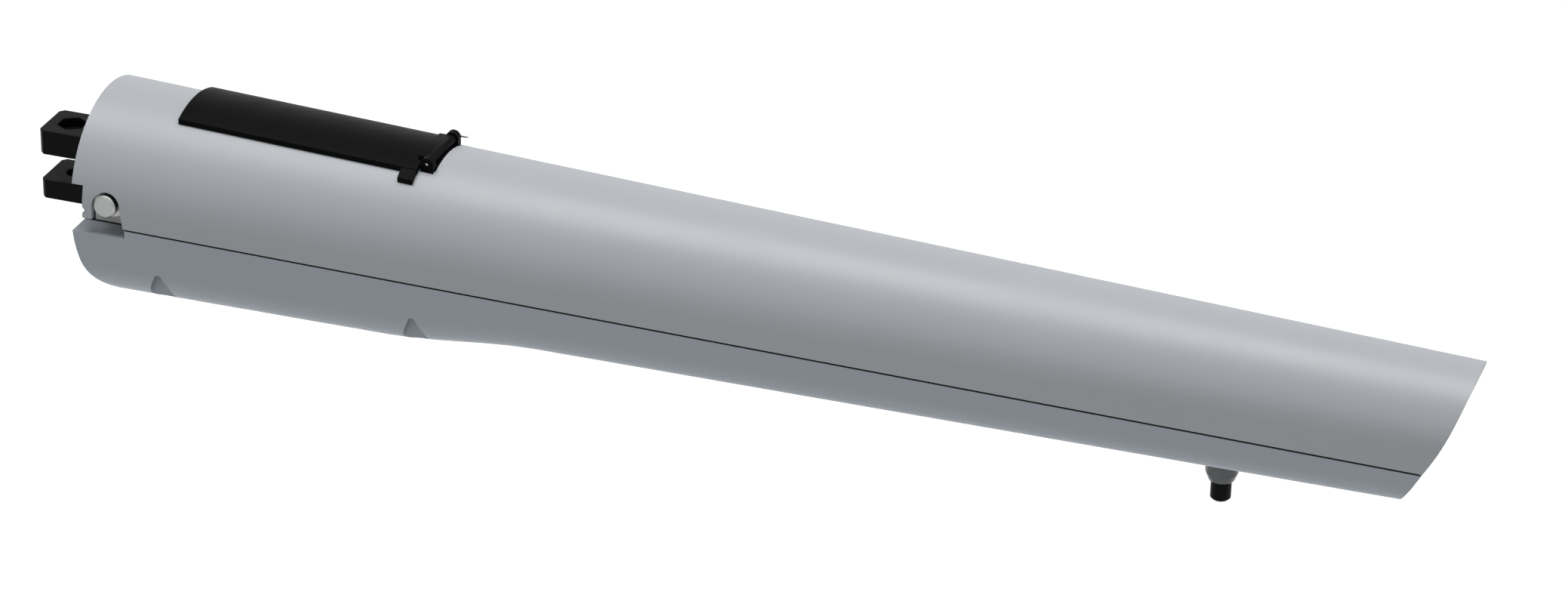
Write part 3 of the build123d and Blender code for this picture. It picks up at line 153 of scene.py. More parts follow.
@dataclass(frozen=True)
class Finish:
    """One surface: what it is made of, how its surface was made, and what that gives the eye.

    The grain's and the mottling's sizes are in real millimetres, no finer than the render can show.
    """

    name: str
    colour: str
    roughness: float
    grain: Grain
    grain_mm: float
    depth_mm: float
    metallic: float = 0.0
    ior: float = 1.5
    mottle: float = 0.03
    mottle_mm: float = 35.0
    roughness_spread: float = 0.05
    specular: float = 0.5

    def stretch(self) -> Triple:
        """Gives the direction of the grain.

        Returns:
            Scale of the grain's pattern along X, Y and Z.
        """
        table = {Grain.TURNED: (1.0, 0.02, 0.02), Grain.DRAWN: (0.02, 1.0, 1.0)}
        return table.get(self.grain, (1.0, 1.0, 1.0))

    def relief(self, tree: Tree, where: Socket) -> Socket:
        """Draws the fine grain as heights.

        Args:
            tree: The material's tree.
            where: Object coordinates.

        Returns:
            Height of the grain at each point.
        """
        turned = add_node(tree, "ShaderNodeMapping", {"Scale": self.stretch()}, {"Vector": where})
        links = {"Vector": turned.outputs["Vector"]}
        settings = {"Scale": MM_PER_METRE / self.grain_mm}
        if self.grain is Grain.SPARK:
            return add_node(
                tree, "ShaderNodeTexVoronoi", settings, links, feature="SMOOTH_F1"
            ).outputs["Distance"]
        settings["Detail"] = GRAIN_DETAIL
        return add_node(tree, "ShaderNodeTexNoise", settings, links).outputs["Fac"]

    def mottled(self, tree: Tree, broad: Socket) -> Socket:
        """Varies the colour a little over broad patches.

        Args:
            tree: The material's tree.
            broad: Noise that says where a patch is dark or light.

        Returns:
            Colour at each point.
        """
        ramp = add_node(tree, "ShaderNodeValToRGB", None, {"Fac": broad})
        shares = (1 - self.mottle, 1 + self.mottle)
        for element, place, share in zip(ramp.color_ramp.elements, BROAD_RANGE, shares):
            element.position = place
            element.color = (*(min(1.0, c * share) for c in linear(self.colour)[:3]), 1.0)
        return ramp.outputs["Color"]

    def material(self) -> bpy.types.Material:
        """Builds the node material, or returns the one already built.

        Returns:
            The material with this finish's name.
        """
        known = bpy.data.materials.get(self.name)
        if known:
            return known
        made = bpy.data.materials.new(self.name)
        made.use_nodes = True
        tree = made.node_tree
        tree.nodes.clear()
        out = add_node(tree, "ShaderNodeOutputMaterial")
        where = add_node(tree, "ShaderNodeTexCoord").outputs["Object"]
        noise = {"Scale": MM_PER_METRE / self.mottle_mm, "Detail": BROAD_DETAIL, "Roughness": BROAD_SHARE}
        broad = add_node(tree, "ShaderNodeTexNoise", noise, {"Vector": where}).outputs["Fac"]
        rough = add_node(
            tree,
            "ShaderNodeMapRange",
            {
                "From Min": BROAD_RANGE[0],
                "From Max": BROAD_RANGE[1],
                "To Min": max(0.0, self.roughness - self.roughness_spread),
                "To Max": min(1.0, self.roughness + self.roughness_spread),
            },
            {"Value": broad},
        ).outputs["Result"]
        depth = {"Strength": 1.0, "Distance": self.depth_mm * MM}
        bump = add_node(tree, "ShaderNodeBump", depth, {"Height": self.relief(tree, where)}).outputs["Normal"]
        settings = {"Metallic": self.metallic, "Specular IOR Level": self.specular}
        if not self.metallic:
            settings["IOR"] = self.ior
        shader = add_node(
            tree,
            "ShaderNodeBsdfPrincipled",
            settings,
            {"Base Color": self.mottled(tree, broad), "Roughness": rough, "Normal": bump},
        )
        tree.links.new(shader.outputs["BSDF"], out.inputs["Surface"])
        made.diffuse_color = linear(self.colour)
        return made


# Light grey polyester powder on a die casting: satin, with a soft highlight and the faintest orange peel.
UPPER_POWDER = Finish(
    "light_grey_powder_coat", "#9DA0A4",
    roughness=0.42, grain=Grain.ORANGE_PEEL, grain_mm=1.6, depth_mm=0.006,
    mottle=0.012, mottle_mm=60.0,
)
# Bluish grey powder on the tub: the same satin, one step darker and cooler.
LOWER_POWDER = Finish(
    "blue_grey_powder_coat", "#969DA4",
    roughness=0.45, grain=Grain.ORANGE_PEEL, grain_mm=1.6, depth_mm=0.006,
    mottle=0.012, mottle_mm=60.0,
)
# Black powder on forged steel: near black, with broad dull highlights and sharper peel.
# Both blacks reflect less than such surfaces do, because the white studio is brighter than a room.
BLACK_POWDER = Finish(
    "black_powder_on_steel", "#080809",
    roughness=0.42, grain=Grain.ORANGE_PEEL, grain_mm=1.0, depth_mm=0.012,
    mottle=0.1, mottle_mm=12.0, specular=0.05,
)
# Black acetal and ABS mouldings: a fine spark-eroded texture that greys the highlights.
BLACK_MOULDED = Finish(
    "black_moulded_abs", "#070708",
    roughness=0.42, grain=Grain.SPARK, grain_mm=0.5, depth_mm=0.008,
    mottle=0.08, mottle_mm=15.0, specular=0.03,
)
# Bright zinc plate on turned steel: pale, with turning rings and dull blotches.
ZINC_TURNED = Finish(
    "bright_zinc_plate", "#9A9C9A",
    roughness=0.28, grain=Grain.TURNED, grain_mm=0.35, depth_mm=0.004,
    metallic=1.0, mottle=0.06, mottle_mm=8.0,
)
# Steel of the pin's collar, its colour darkened as a painted dark reflection: dark at its edges, with one
# pale streak down the middle.
ZINC_DARK_REFLECTION = Finish(
    "steel_with_painted_dark_reflection", "#4A4C4E",
    roughness=0.3, grain=Grain.TURNED, grain_mm=0.35, depth_mm=0.004,
    metallic=1.0, mottle=0.1, mottle_mm=7.0,
)
# Ground bearing and gear steel: slightly darker than zinc and smoother.
GROUND_STEEL = Finish(
    "ground_steel", "#A9ABAD",
    roughness=0.24, grain=Grain.TURNED, grain_mm=0.3, depth_mm=0.003,
    metallic=1.0, mottle=0.05, mottle_mm=6.0,
)
# Raw die-cast aluminium: sandy skin with flow marks.
CAST_ALUMINIUM = Finish(
    "die_cast_aluminium", "#B2B2B0",
    roughness=0.5, grain=Grain.CAST, grain_mm=0.9, depth_mm=0.03,
    metallic=1.0, mottle=0.08, mottle_mm=14.0,
)
# Extruded aluminium: straight drawing lines along the rail.
DRAWN_ALUMINIUM = Finish(
    "extruded_aluminium", "#B9BABB",
    roughness=0.34, grain=Grain.DRAWN, grain_mm=0.25, depth_mm=0.006,
    metallic=1.0, mottle=0.04,
)
# Turned tin bronze: warm, with lathe rings.
BRONZE = Finish(
    "turned_tin_bronze", "#B08A4A",
    roughness=0.3, grain=Grain.TURNED, grain_mm=0.4, depth_mm=0.004,
    metallic=1.0, mottle=0.08, mottle_mm=9.0,
)
# Black moulded rubber: matt and slightly dusty.
RUBBER = Finish(
    "black_rubber", "#1B1B1B",
    roughness=0.8, grain=Grain.SPARK, grain_mm=0.8, depth_mm=0.02,
    mottle=0.15, mottle_mm=10.0,
)
# Red moulded knob: glossier than the frame.
RED_MOULDED = Finish(
    "red_moulded_nylon", "#A5241C",
    roughness=0.35, grain=Grain.SPARK, grain_mm=0.6, depth_mm=0.008,
    mottle=0.04, mottle_mm=12.0,
)
# Natural acetal shoes: milky white.
ACETAL = Finish(
    "natural_acetal", "#E2E0D6",
    roughness=0.4, grain=Grain.SPARK, grain_mm=0.7, depth_mm=0.006,
    mottle=0.02,
)
# Lacquered copper wire and commutator bars.
COPPER = Finish(
    "lacquered_copper", "#B8683C",
    roughness=0.35, grain=Grain.DRAWN, grain_mm=0.6, depth_mm=0.02,
    metallic=1.0, mottle=0.1, mottle_mm=4.0,
)
# Black cord in the joint of the covers, dull black as painted shade of the joint's gap, so the joint reads as
# one dark line.
SEAM_SHADE_CORD = Finish(
    "painted_shade_cord", "#050505",
    roughness=0.9, grain=Grain.SPARK, grain_mm=0.6, depth_mm=0.01,
    mottle=0.1, mottle_mm=9.0, specular=0.1,
)
# Sintered ferrite and carbon: dark grey and granular.
FERRITE = Finish(
    "sintered_ferrite", "#2B2C2F",
    roughness=0.7, grain=Grain.CAST, grain_mm=0.5, depth_mm=0.02,
    mottle=0.12, mottle_mm=6.0,
)

SLOT_FINISH = {
    "upper_paint": UPPER_POWDER,
    "lower_paint": LOWER_POWDER,
    "black_steel": BLACK_POWDER,
    "black_plastic": BLACK_MOULDED,
    "zinc_steel": ZINC_TURNED,
    "ground_steel": GROUND_STEEL,
    "cast_aluminium": CAST_ALUMINIUM,
    "bronze": BRONZE,
    "rubber": RUBBER,
    "red_plastic": RED_MOULDED,
    "nylon": ACETAL,
    "copper": COPPER,
    "ferrite": FERRITE,
}


# Hull shape, the same straight lines along X as the source's, in millimetres


@dataclass(frozen=True)
class Hull:
    """Half-round hull whose crest, seam and radius run as straight lines along X."""

    crest: Pair = (46.9, -0.0378)
    seam: Pair = (-6.66, -0.0235)
    radius: Pair = (49.6, -0.0249)

    def at(self, line: Pair, x: float) -> float:
        """Reads a straight line.

        Args:
            line: Value at x = 0 and slope.
            x: Place along the hull.

        Returns:
            The line's value there.
        """
        return line[0] + line[1] * x

    def level(self, x: float) -> float:
        """Finds the half circle's centre.

        Args:
            x: Place along the hull.

        Returns:
            Height of the centre there.
        """
        return self.at(self.crest, x) - self.at(self.radius, x)

    def height(self, x: float, y: float) -> float:
        """Finds the top of the upper hull.

        Args:
            x: Place along the hull.
            y: Place across it.

        Returns:
            Height of the surface there.
        """
        return self.level(x) + math.sqrt(self.at(self.radius, x) ** 2 - y**2)

    def depth(self, point: Vector) -> float:
        """Measures how far a point is from the upper hull's surface.

        Args:
            point: Place in millimetres.

        Returns:
            Distance in millimetres, positive outside.
        """
        x, y, z = point
        up = z - self.level(x)
        reach = math.hypot(y, up) if up > 0 else abs(y)
        return reach - self.at(self.radius, x)

    def normal(self, point: Vector) -> Vector:
        """Finds the way the upper hull's surface faces.

        Args:
            point: Place in millimetres.

        Returns:
            Outward unit vector.
        """
        x, y, z = point
        up = z - self.level(x)
        slope = self.crest[1] - self.radius[1]
        if up > 0:
            reach = math.hypot(y, up)
            return Vector((-up / reach * slope - self.radius[1], y / reach, up / reach)).normalized()
        return Vector((-self.radius[1], math.copysign(1.0, y), 0.0)).normalized()


HULL = Hull()


@dataclass(frozen=True)
class Tub:
    """Lower hull: near-upright sides, round corners, and a bottom that steps up behind the belly.

    The real tub is a little deeper than the solid, so its copy is stretched down from the seam.
    The two misses say how far off its flats and its rounded corners, as shares of the corner's
    size, a point still counts as a part of the outer skin.
    """

    foot: Pair = (49.2, -0.0264)
    corner: Pair = (19.5, -0.0125)
    belly_z: float = -45.0
    underside_z: float = -39.2
    step: Pair = (184.0, 260.0)
    deeper: float = 3.0
    side_slope: float = 0.03
    side_lean: float = 0.018
    flat_miss: float = 0.03
    round_miss: float = 0.04

    def floor(self, x: float) -> float:
        """Finds the solid's bottom.

        Args:
            x: Place along the hull.

        Returns:
            Height of the bottom there.
        """
        # The step has level ends and its steepest place in the middle.
        t = min(1.0, max(0.0, (x - self.step[0]) / (self.step[1] - self.step[0])))
        return self.belly_z + (self.underside_z - self.belly_z) * t * t * (3 - 2 * t)

    def stretch(self, x: float) -> float:
        """Finds how much the copy is stretched below the seam.

        Args:
            x: Place along the hull.

        Returns:
            Stretched depth divided by the solid's.
        """
        return 1.0 + self.deeper / (HULL.at(HULL.seam, x) - self.floor(x))

    def lowered(self, point: Vector) -> float:
        """Lowers a point of the solid to the real tub's depth.

        Args:
            point: Place in millimetres.

        Returns:
            New height, or the old one above the seam.
        """
        seam = HULL.at(HULL.seam, point.x)
        return seam + min(0.0, point.z - seam) * self.stretch(point.x) + max(0.0, point.z - seam)

    def normal(self, point: Vector) -> Vector | None:
        """Finds the way the deeper tub faces.

        Args:
            point: Place in millimetres.

        Returns:
            Outward unit vector, or nothing where the point isn't on the outer skin.
        """
        x, y, z = point
        belly = self.underside_z - self.floor(x)
        half = self.foot[0] + self.foot[1] * x - belly * self.side_slope
        wide = self.corner[0] + self.corner[1] * x
        tall = wide * self.stretch(x)
        across = (abs(y) - half + wide) / wide
        down = (self.floor(x) - self.deeper + tall - z) / tall
        run = self.floor(x + 0.5) - self.floor(x - 0.5)
        if across <= 0.0:
            on_bottom = abs(down - 1.0) < self.flat_miss
            return Vector((run, 0.0, -1.0)).normalized() if on_bottom else None
        if down <= 0.0:
            away = Vector((-self.foot[1], math.copysign(1.0, y), -self.side_lean)).normalized()
            return away if across > 1.0 - self.flat_miss else None
        if abs(math.hypot(across, down) - 1.0) > self.round_miss:
            return None
        c, d = across / wide, down / tall
        size = math.hypot(c, d)
        c, d = c / size, d / size
        return Vector((-self.foot[1] * c + run * d, math.copysign(c, y), -d)).normalized()


TUB = Tub()


def deepen(piece: Piece) -> None:
    """Stretches the lower cover's copy down to the real tub's depth.

    Args:
        piece: Merged copy of the lower cover.
    """
    for vert in piece.data.vertices:
        vert.co.z = TUB.lowered(vert.co / MM) * MM


def tub_shading(piece: Piece) -> None:
    """Gives the tub's outer skin its exact normals.

    Args:
        piece: Lower cover with its modifiers applied.
    """
    mesh = piece.data
    normals = [Vector(n.vector) for n in mesh.corner_normals]
    for face in mesh.polygons:
        for loop in face.loop_indices:
            away = TUB.normal(mesh.vertices[mesh.loops[loop].vertex_index].co / MM)
            if away is not None and face.normal.dot(away) > TUB_FACING:
                normals[loop] = away
    mesh.normals_split_custom_set([tuple(n) for n in normals])


def node_body(node: str) -> str:
    """Looks up the body that holds a CAD node.

    Args:
        node: CAD node.

    Returns:
        The body's name.
    """
    bodies = frame["record"]["behaviour"]["bodies"]
    return next(body for body, nodes in bodies.items() if node in nodes)


def node_slot(node: str) -> str:
    """Looks up a CAD node's material slot.

    Args:
        node: CAD node.

    Returns:
        The slot's name in the record.
    """
    return next(s["material_slot"] for s in frame["record"]["subparts"] if s["node"] == node)


def merged_copy(node: str, name: str) -> Piece:
    """Copies a CAD node's mesh, joins its loose triangles and merges flat ones.

    Args:
        node: CAD node to copy.
        name: Name of the new object.

    Returns:
        The new object, at the origin.
    """
    mesh = frame["nodes"][node].data.copy()
    mesh.name = name
    mesh.materials.clear()
    work = bmesh.new()
    work.from_mesh(mesh)
    bmesh.ops.remove_doubles(work, verts=work.verts, dist=MERGE_DISTANCE)
    bmesh.ops.dissolve_limit(work, angle_limit=FLAT_ANGLE, verts=work.verts, edges=work.edges)
    for edge in work.edges:
        edge.smooth = edge.is_manifold and edge.calc_face_angle(0.0) < SMOOTH_ANGLE
    for face in work.faces:
        face.smooth = True
    work.to_mesh(mesh)
    work.free()
    made = bpy.data.objects.new(name, mesh)
    bpy.context.scene.collection.objects.link(made)
    return made


def soften(piece: Piece, width_mm: float) -> None:
    """Rounds sharp edges a little and evens the shading of flat faces.

    Args:
        piece: Object to soften.
        width_mm: Width of the rounding, or 0 for none.
    """
    if width_mm:
        bevel = piece.modifiers.new("rounded_edges", "BEVEL")
        bevel.width = width_mm * MM
        bevel.segments = ROUNDED_STEPS
        bevel.limit_method = "ANGLE"
        bevel.angle_limit = ROUNDED_ANGLE
        bevel.use_clamp_overlap = True
        bevel.harden_normals = False
    even = piece.modifiers.new("even_shading", "WEIGHTED_NORMAL")
    even.keep_sharp = True
    even.weight = EVEN_WEIGHT


def hull_shading(piece: Piece, lifts: tuple[float, ...]) -> None:
    """Gives faces that lie on the hull's surface the surface's exact normals.

    Args:
        piece: Object with its modifiers applied.
        lifts: Offsets of the shown surfaces from the hull, in millimetres.
    """
    mesh = piece.data
    normals = [Vector(n.vector) for n in mesh.corner_normals]
    for face in mesh.polygons:
        centre = face.center / MM
        away = HULL.normal(centre)
        facing = face.normal.dot(away)
        depth = HULL.depth(centre)
        if facing > HULL_FACING and any(abs(depth - lift) < HULL_MISS_MM for lift in lifts):
            for loop in face.loop_indices:
                spot = mesh.vertices[mesh.loops[loop].vertex_index].co / MM
                normals[loop] = HULL.normal(spot)
    mesh.normals_split_custom_set([tuple(n) for n in normals])


def apply_modifiers(piece: Piece) -> None:
    """Bakes a piece's modifiers into its mesh.

    Args:
        piece: Object whose modifiers are applied and removed.
    """
    graph = bpy.context.evaluated_depsgraph_get()
    final = piece.evaluated_get(graph)
    baked = bpy.data.meshes.new_from_object(final, preserve_all_data_layers=True, depsgraph=graph)
    old = piece.data
    piece.modifiers.clear()
    piece.data = baked
    bpy.data.meshes.remove(old)


def new_tree(name: str, inputs: dict[str, str]) -> tuple[ShapeTree, dict[str, Socket]]:
    """Starts a geometry tree with named inputs and one mesh output.

    Args:
        name: The tree's name.
        inputs: Input name to its socket kind, such as Float, Int, Vector or Material.

    Returns:
        The tree and its input sockets by name.
    """
    tree = bpy.data.node_groups.new(name, "GeometryNodeTree")
    for label, kind in inputs.items():
        tree.interface.new_socket(label, in_out="INPUT", socket_type=f"NodeSocket{kind}")
    tree.interface.new_socket("Geometry", in_out="OUTPUT", socket_type="NodeSocketGeometry")
    given = add_node(tree, "NodeGroupInput").outputs
    return tree, {label: given[label] for label in inputs}


def close_tree(tree: ShapeTree, shape: Socket, material: Socket) -> None:
    """Ends a tree by making its copies real and setting their material.

    Args:
        tree: Tree to end.
        shape: Geometry to send out.
        material: Material it gets.
    """
    real = add_node(tree, "GeometryNodeRealizeInstances", None, {"Geometry": shape}).outputs["Geometry"]
    dressed = add_node(tree, "GeometryNodeSetMaterial", None, {"Geometry": real, "Material": material})
    add_node(tree, "NodeGroupOutput", None, {"Geometry": dressed.outputs["Geometry"]})


def grown(name: str, tree: ShapeTree, values: dict[str, object], place: Matrix) -> Piece:
    """Grows one piece from a geometry tree and bakes it.

    Args:
        name: Name of the piece.
        tree: Geometry tree.
        values: Input name to value.
        place: Where the piece's mesh goes in the frame.

    Returns:
        The new object, at the origin.
    """
    made = bpy.data.objects.new(name, bpy.data.meshes.new(name))
    bpy.context.scene.collection.objects.link(made)
    grower = made.modifiers.new(tree.name, "NODES")
    grower.node_group = tree
    for socket in tree.interface.items_tree:
        if socket.item_type == "SOCKET" and socket.in_out == "INPUT":
            grower[socket.identifier] = values[socket.name]
    apply_modifiers(made)
    made.data.transform(place)
    return made


def joined(name: str, parts: list[Piece]) -> Piece:
    """Joins several grown pieces of one body into one.

    Args:
        name: Name of the joined piece.
        parts: Objects at the origin, used up.

    Returns:
        One object at the origin.
    """
    work = bmesh.new()
    for part in parts:
        work.from_mesh(part.data)
    whole = bpy.data.meshes.new(name)
    work.to_mesh(whole)
    work.free()
    for material in parts[0].data.materials:
        whole.materials.append(material)
    for part in parts:
        bpy.data.objects.remove(part)
    made = bpy.data.objects.new(name, whole)
    bpy.context.scene.collection.objects.link(made)
    return made


def along_x(x: float, y: float = 0.0, z: float = 0.0) -> Matrix:
    """Turns a shape built along Z to lie along X.

    Args:
        x: Where its base goes, in millimetres.
        y: Where its axis goes across.
        z: Height of its axis.

    Returns:
        The placing matrix.
    """
    return Matrix.Translation(mm(x, y, z)) @ Matrix.Rotation(math.radians(90), 4, "Y")


@dataclass
class SubAssembly:
    """Group of pieces dressed together."""

    title: str
    shapes: dict[str, Piece] = field(default_factory=dict)

    def build(self) -> None:
        """Builds the shapes that this group adds to the solids; most groups add none."""

    def finish_piece(
        self, piece: Piece, finish: Finish, body: str, slot: str, nodes: tuple[str, ...] = ()
    ) -> None:
        """Gives a piece its material and body, and hides the CAD nodes it stands for.

        Args:
            piece: Object at the origin with its place in its mesh.
            finish: Surface to build.
            body: CAD body it rides on.
            slot: Record slot it takes its finish from; not used.
            nodes: CAD nodes it stands for.
        """
        if finish.name not in [m.name for m in piece.data.materials if m]:
            piece.data.materials.append(finish.material())
        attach(piece, body)
        if nodes:
            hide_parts(*nodes)
        log.info("%s: %s rides on %s, %d faces", self.title, piece.name, body, len(piece.data.polygons))

    def dressed(self, node: str, bevel_mm: float, finish: Finish | None = None) -> Piece:
        """Makes a smooth-shaded, edge-rounded stand-in for one CAD node.

        Args:
            node: CAD node.
            bevel_mm: Width of the rounding.
            finish: Surface, where it isn't the slot's own.

        Returns:
            The new object.
        """
        piece = merged_copy(node, node + "_dressed")
        soften(piece, bevel_mm)
        slot = node_slot(node)
        self.finish_piece(piece, finish or SLOT_FINISH[slot], node_body(node), slot, (node,))
        return piece

    def painted(self, *nodes: str, finish: Finish | None = None) -> None:
        """Gives CAD nodes that keep their own mesh a material.

        Args:
            nodes: CAD nodes.
            finish: Surface, where it isn't the slot's own.
        """
        for node in nodes:
            shown = frame["nodes"][node]
            chosen = finish or SLOT_FINISH[node_slot(node)]
            shown.data.materials.clear()
            shown.data.materials.append(chosen.material())
            log.info("%s: %s keeps its solid, in %s", self.title, node, chosen.name)


@dataclass
class Housing(SubAssembly):
    """Two painted covers, the black cord of painted shade in their joint, the screws, and the patches over
    two holes.
    """

    title: str = "housing"
    edge_mm: float = 0.5
    cord_radius_mm: float = 0.42
    cord_depth_mm: float = 0.62
    cord_x_mm: Pair = (50.7, 694.6)
    screw_hole_mm: Pair = (196.0, 19.5)
    patch_radius_mm: float = 2.4
    patch_lift_mm: float = 0.03
    patch_depth_mm: float = 0.8
    patch_sides: int = 32
    cord_sides: int = 10

    def build(self) -> None:
        """Builds the covers, the cord and the patches."""
        upper = merged_copy("upper_cover", "upper_cover_painted")
        lower = merged_copy("lower_cover", "lower_cover_painted")
        deepen(lower)
        for piece in (upper, lower):
            soften(piece, self.edge_mm)
            apply_modifiers(piece)
        hull_shading(upper, (0.0,))
        tub_shading(lower)
        self.shapes = {
            "upper": upper,
            "lower": lower,
            "cord": self.painted_shade_cord(),
            "patches": self.skin_patches(),
        }

    def skin_patches(self) -> Piece:
        """Closes the skin over the frame's two front screws, whose holes break through the solid.

        Returns:
            Both round patches, flush with the hull.
        """
        work = bmesh.new()
        for side in (-1, 1):
            # The first height, of one unit, only tells the top from the bottom.
            middle = Matrix.Translation((self.screw_hole_mm[0], side * self.screw_hole_mm[1], 0.0))
            round_patch = bmesh.ops.create_cone(
                work, cap_ends=True, cap_tris=True, segments=self.patch_sides, matrix=middle,
                radius1=self.patch_radius_mm, radius2=self.patch_radius_mm, depth=1.0,
            )
            for vert in round_patch["verts"]:
                offset = self.patch_lift_mm if vert.co.z > 0 else -self.patch_depth_mm
                vert.co.z = HULL.height(vert.co.x, vert.co.y) + offset
        bmesh.ops.scale(work, vec=Vector((MM, MM, MM)), verts=work.verts)
        for face in work.faces:
            upright = abs(face.normal.z) < 0.5
            face.smooth = not upright
        mesh = bpy.data.meshes.new("cover_skin_patches")
        work.to_mesh(mesh)
        work.free()
        made = bpy.data.objects.new("cover_skin_patches", mesh)
        bpy.context.scene.collection.objects.link(made)
        hull_shading(made, (self.patch_lift_mm,))
        return made

    def painted_shade_cord(self) -> Piece:
        """Lays the black cord of painted shade along both sides of the joint.

        Returns:
            One object with both lengths of cord.
        """
        inputs = {"Start": "Vector", "End": "Vector", "Radius": "Float", "Material": "Material"}
        tree, given = new_tree("cord_on_a_line", inputs)
        line = add_node(
            tree, "GeometryNodeCurvePrimitiveLine", None, {"Start": given["Start"], "End": given["End"]}
        ).outputs["Curve"]
        ring = add_node(
            tree,
            "GeometryNodeCurvePrimitiveCircle",
            {"Resolution": self.cord_sides},
            {"Radius": given["Radius"]},
        ).outputs["Curve"]
        swept = add_node(
            tree, "GeometryNodeCurveToMesh", {"Fill Caps": True}, {"Curve": line, "Profile Curve": ring}
        ).outputs["Mesh"]
        close_tree(tree, swept, given["Material"])
        lengths = []
        for side in (-1, 1):
            ends = [
                mm(x, side * (HULL.at(HULL.radius, x) - self.cord_depth_mm), HULL.at(HULL.seam, x))
                for x in self.cord_x_mm
            ]
            values = {
                "Start": ends[0],
                "End": ends[1],
                "Radius": self.cord_radius_mm * MM,
                "Material": SEAM_SHADE_CORD.material(),
            }
            lengths.append(grown(f"painted_shade_cord_length_{side + 1}", tree, values, Matrix()))
        return joined("seam_painted_shade_cord", lengths)

    def dress(self) -> None:
        """Paints the covers and the patches, and dresses the cord and the screws."""
        shapes = self.shapes
        self.finish_piece(shapes["upper"], UPPER_POWDER, "casing", "upper_paint", ("upper_cover",))
        self.finish_piece(shapes["lower"], LOWER_POWDER, "casing", "lower_paint", ("lower_cover",))
        # The cord's black is painted shade in the joint.
        self.finish_piece(shapes["cord"], SEAM_SHADE_CORD, "casing", "rubber")
        self.finish_piece(shapes["patches"], UPPER_POWDER, "casing", "upper_paint")
        self.dressed("cover_screws", 0.25)


@dataclass
class RearEnd(SubAssembly):
    """Fork, cross pin, carrier, gland and terminals."""

    title: str = "rear end"

    def dress(self) -> None:
        """Dresses the fork, its pin and what carries them."""
        self.dressed("rear_fork", 0.7)
        self.dressed("cross_pin", 0.15)
        self.dressed("rear_carrier", 0.3)
        self.dressed("cable_gland", 0.3)
        self.painted("fork_bush", "terminal_block", "carrier_screws")


@dataclass
class ReleaseCap(SubAssembly):
    """Black cap over the release pocket, its frame, hinge wire and knob."""

    title: str = "release cap"
    cap_edge_mm: float = 0.6
    frame_edge_mm: float = 0.3
    shown_lifts_mm: tuple[float, ...] = (0.0, 2.4, 2.7)

    def build(self) -> None:
        """Builds the cap and its frame with the hull's exact curve."""
        for node, edge in (("release_cap", self.cap_edge_mm), ("release_frame", self.frame_edge_mm)):
            piece = merged_copy(node, node + "_moulded")
            soften(piece, edge)
            apply_modifiers(piece)
            hull_shading(piece, self.shown_lifts_mm)
            self.shapes[node] = piece

    def dress(self) -> None:
        """Dresses the mouldings, the wire, the knob and what lies under it."""
        for node, piece in self.shapes.items():
            self.finish_piece(piece, BLACK_MOULDED, node_body(node), node_slot(node), (node,))
        self.dressed("cap_hinge_wire", 0.0)
        self.dressed("release_knob", 0.5)
        self.painted("frame_screws", "shift_fork", "fork_rod", "dog_clutch")


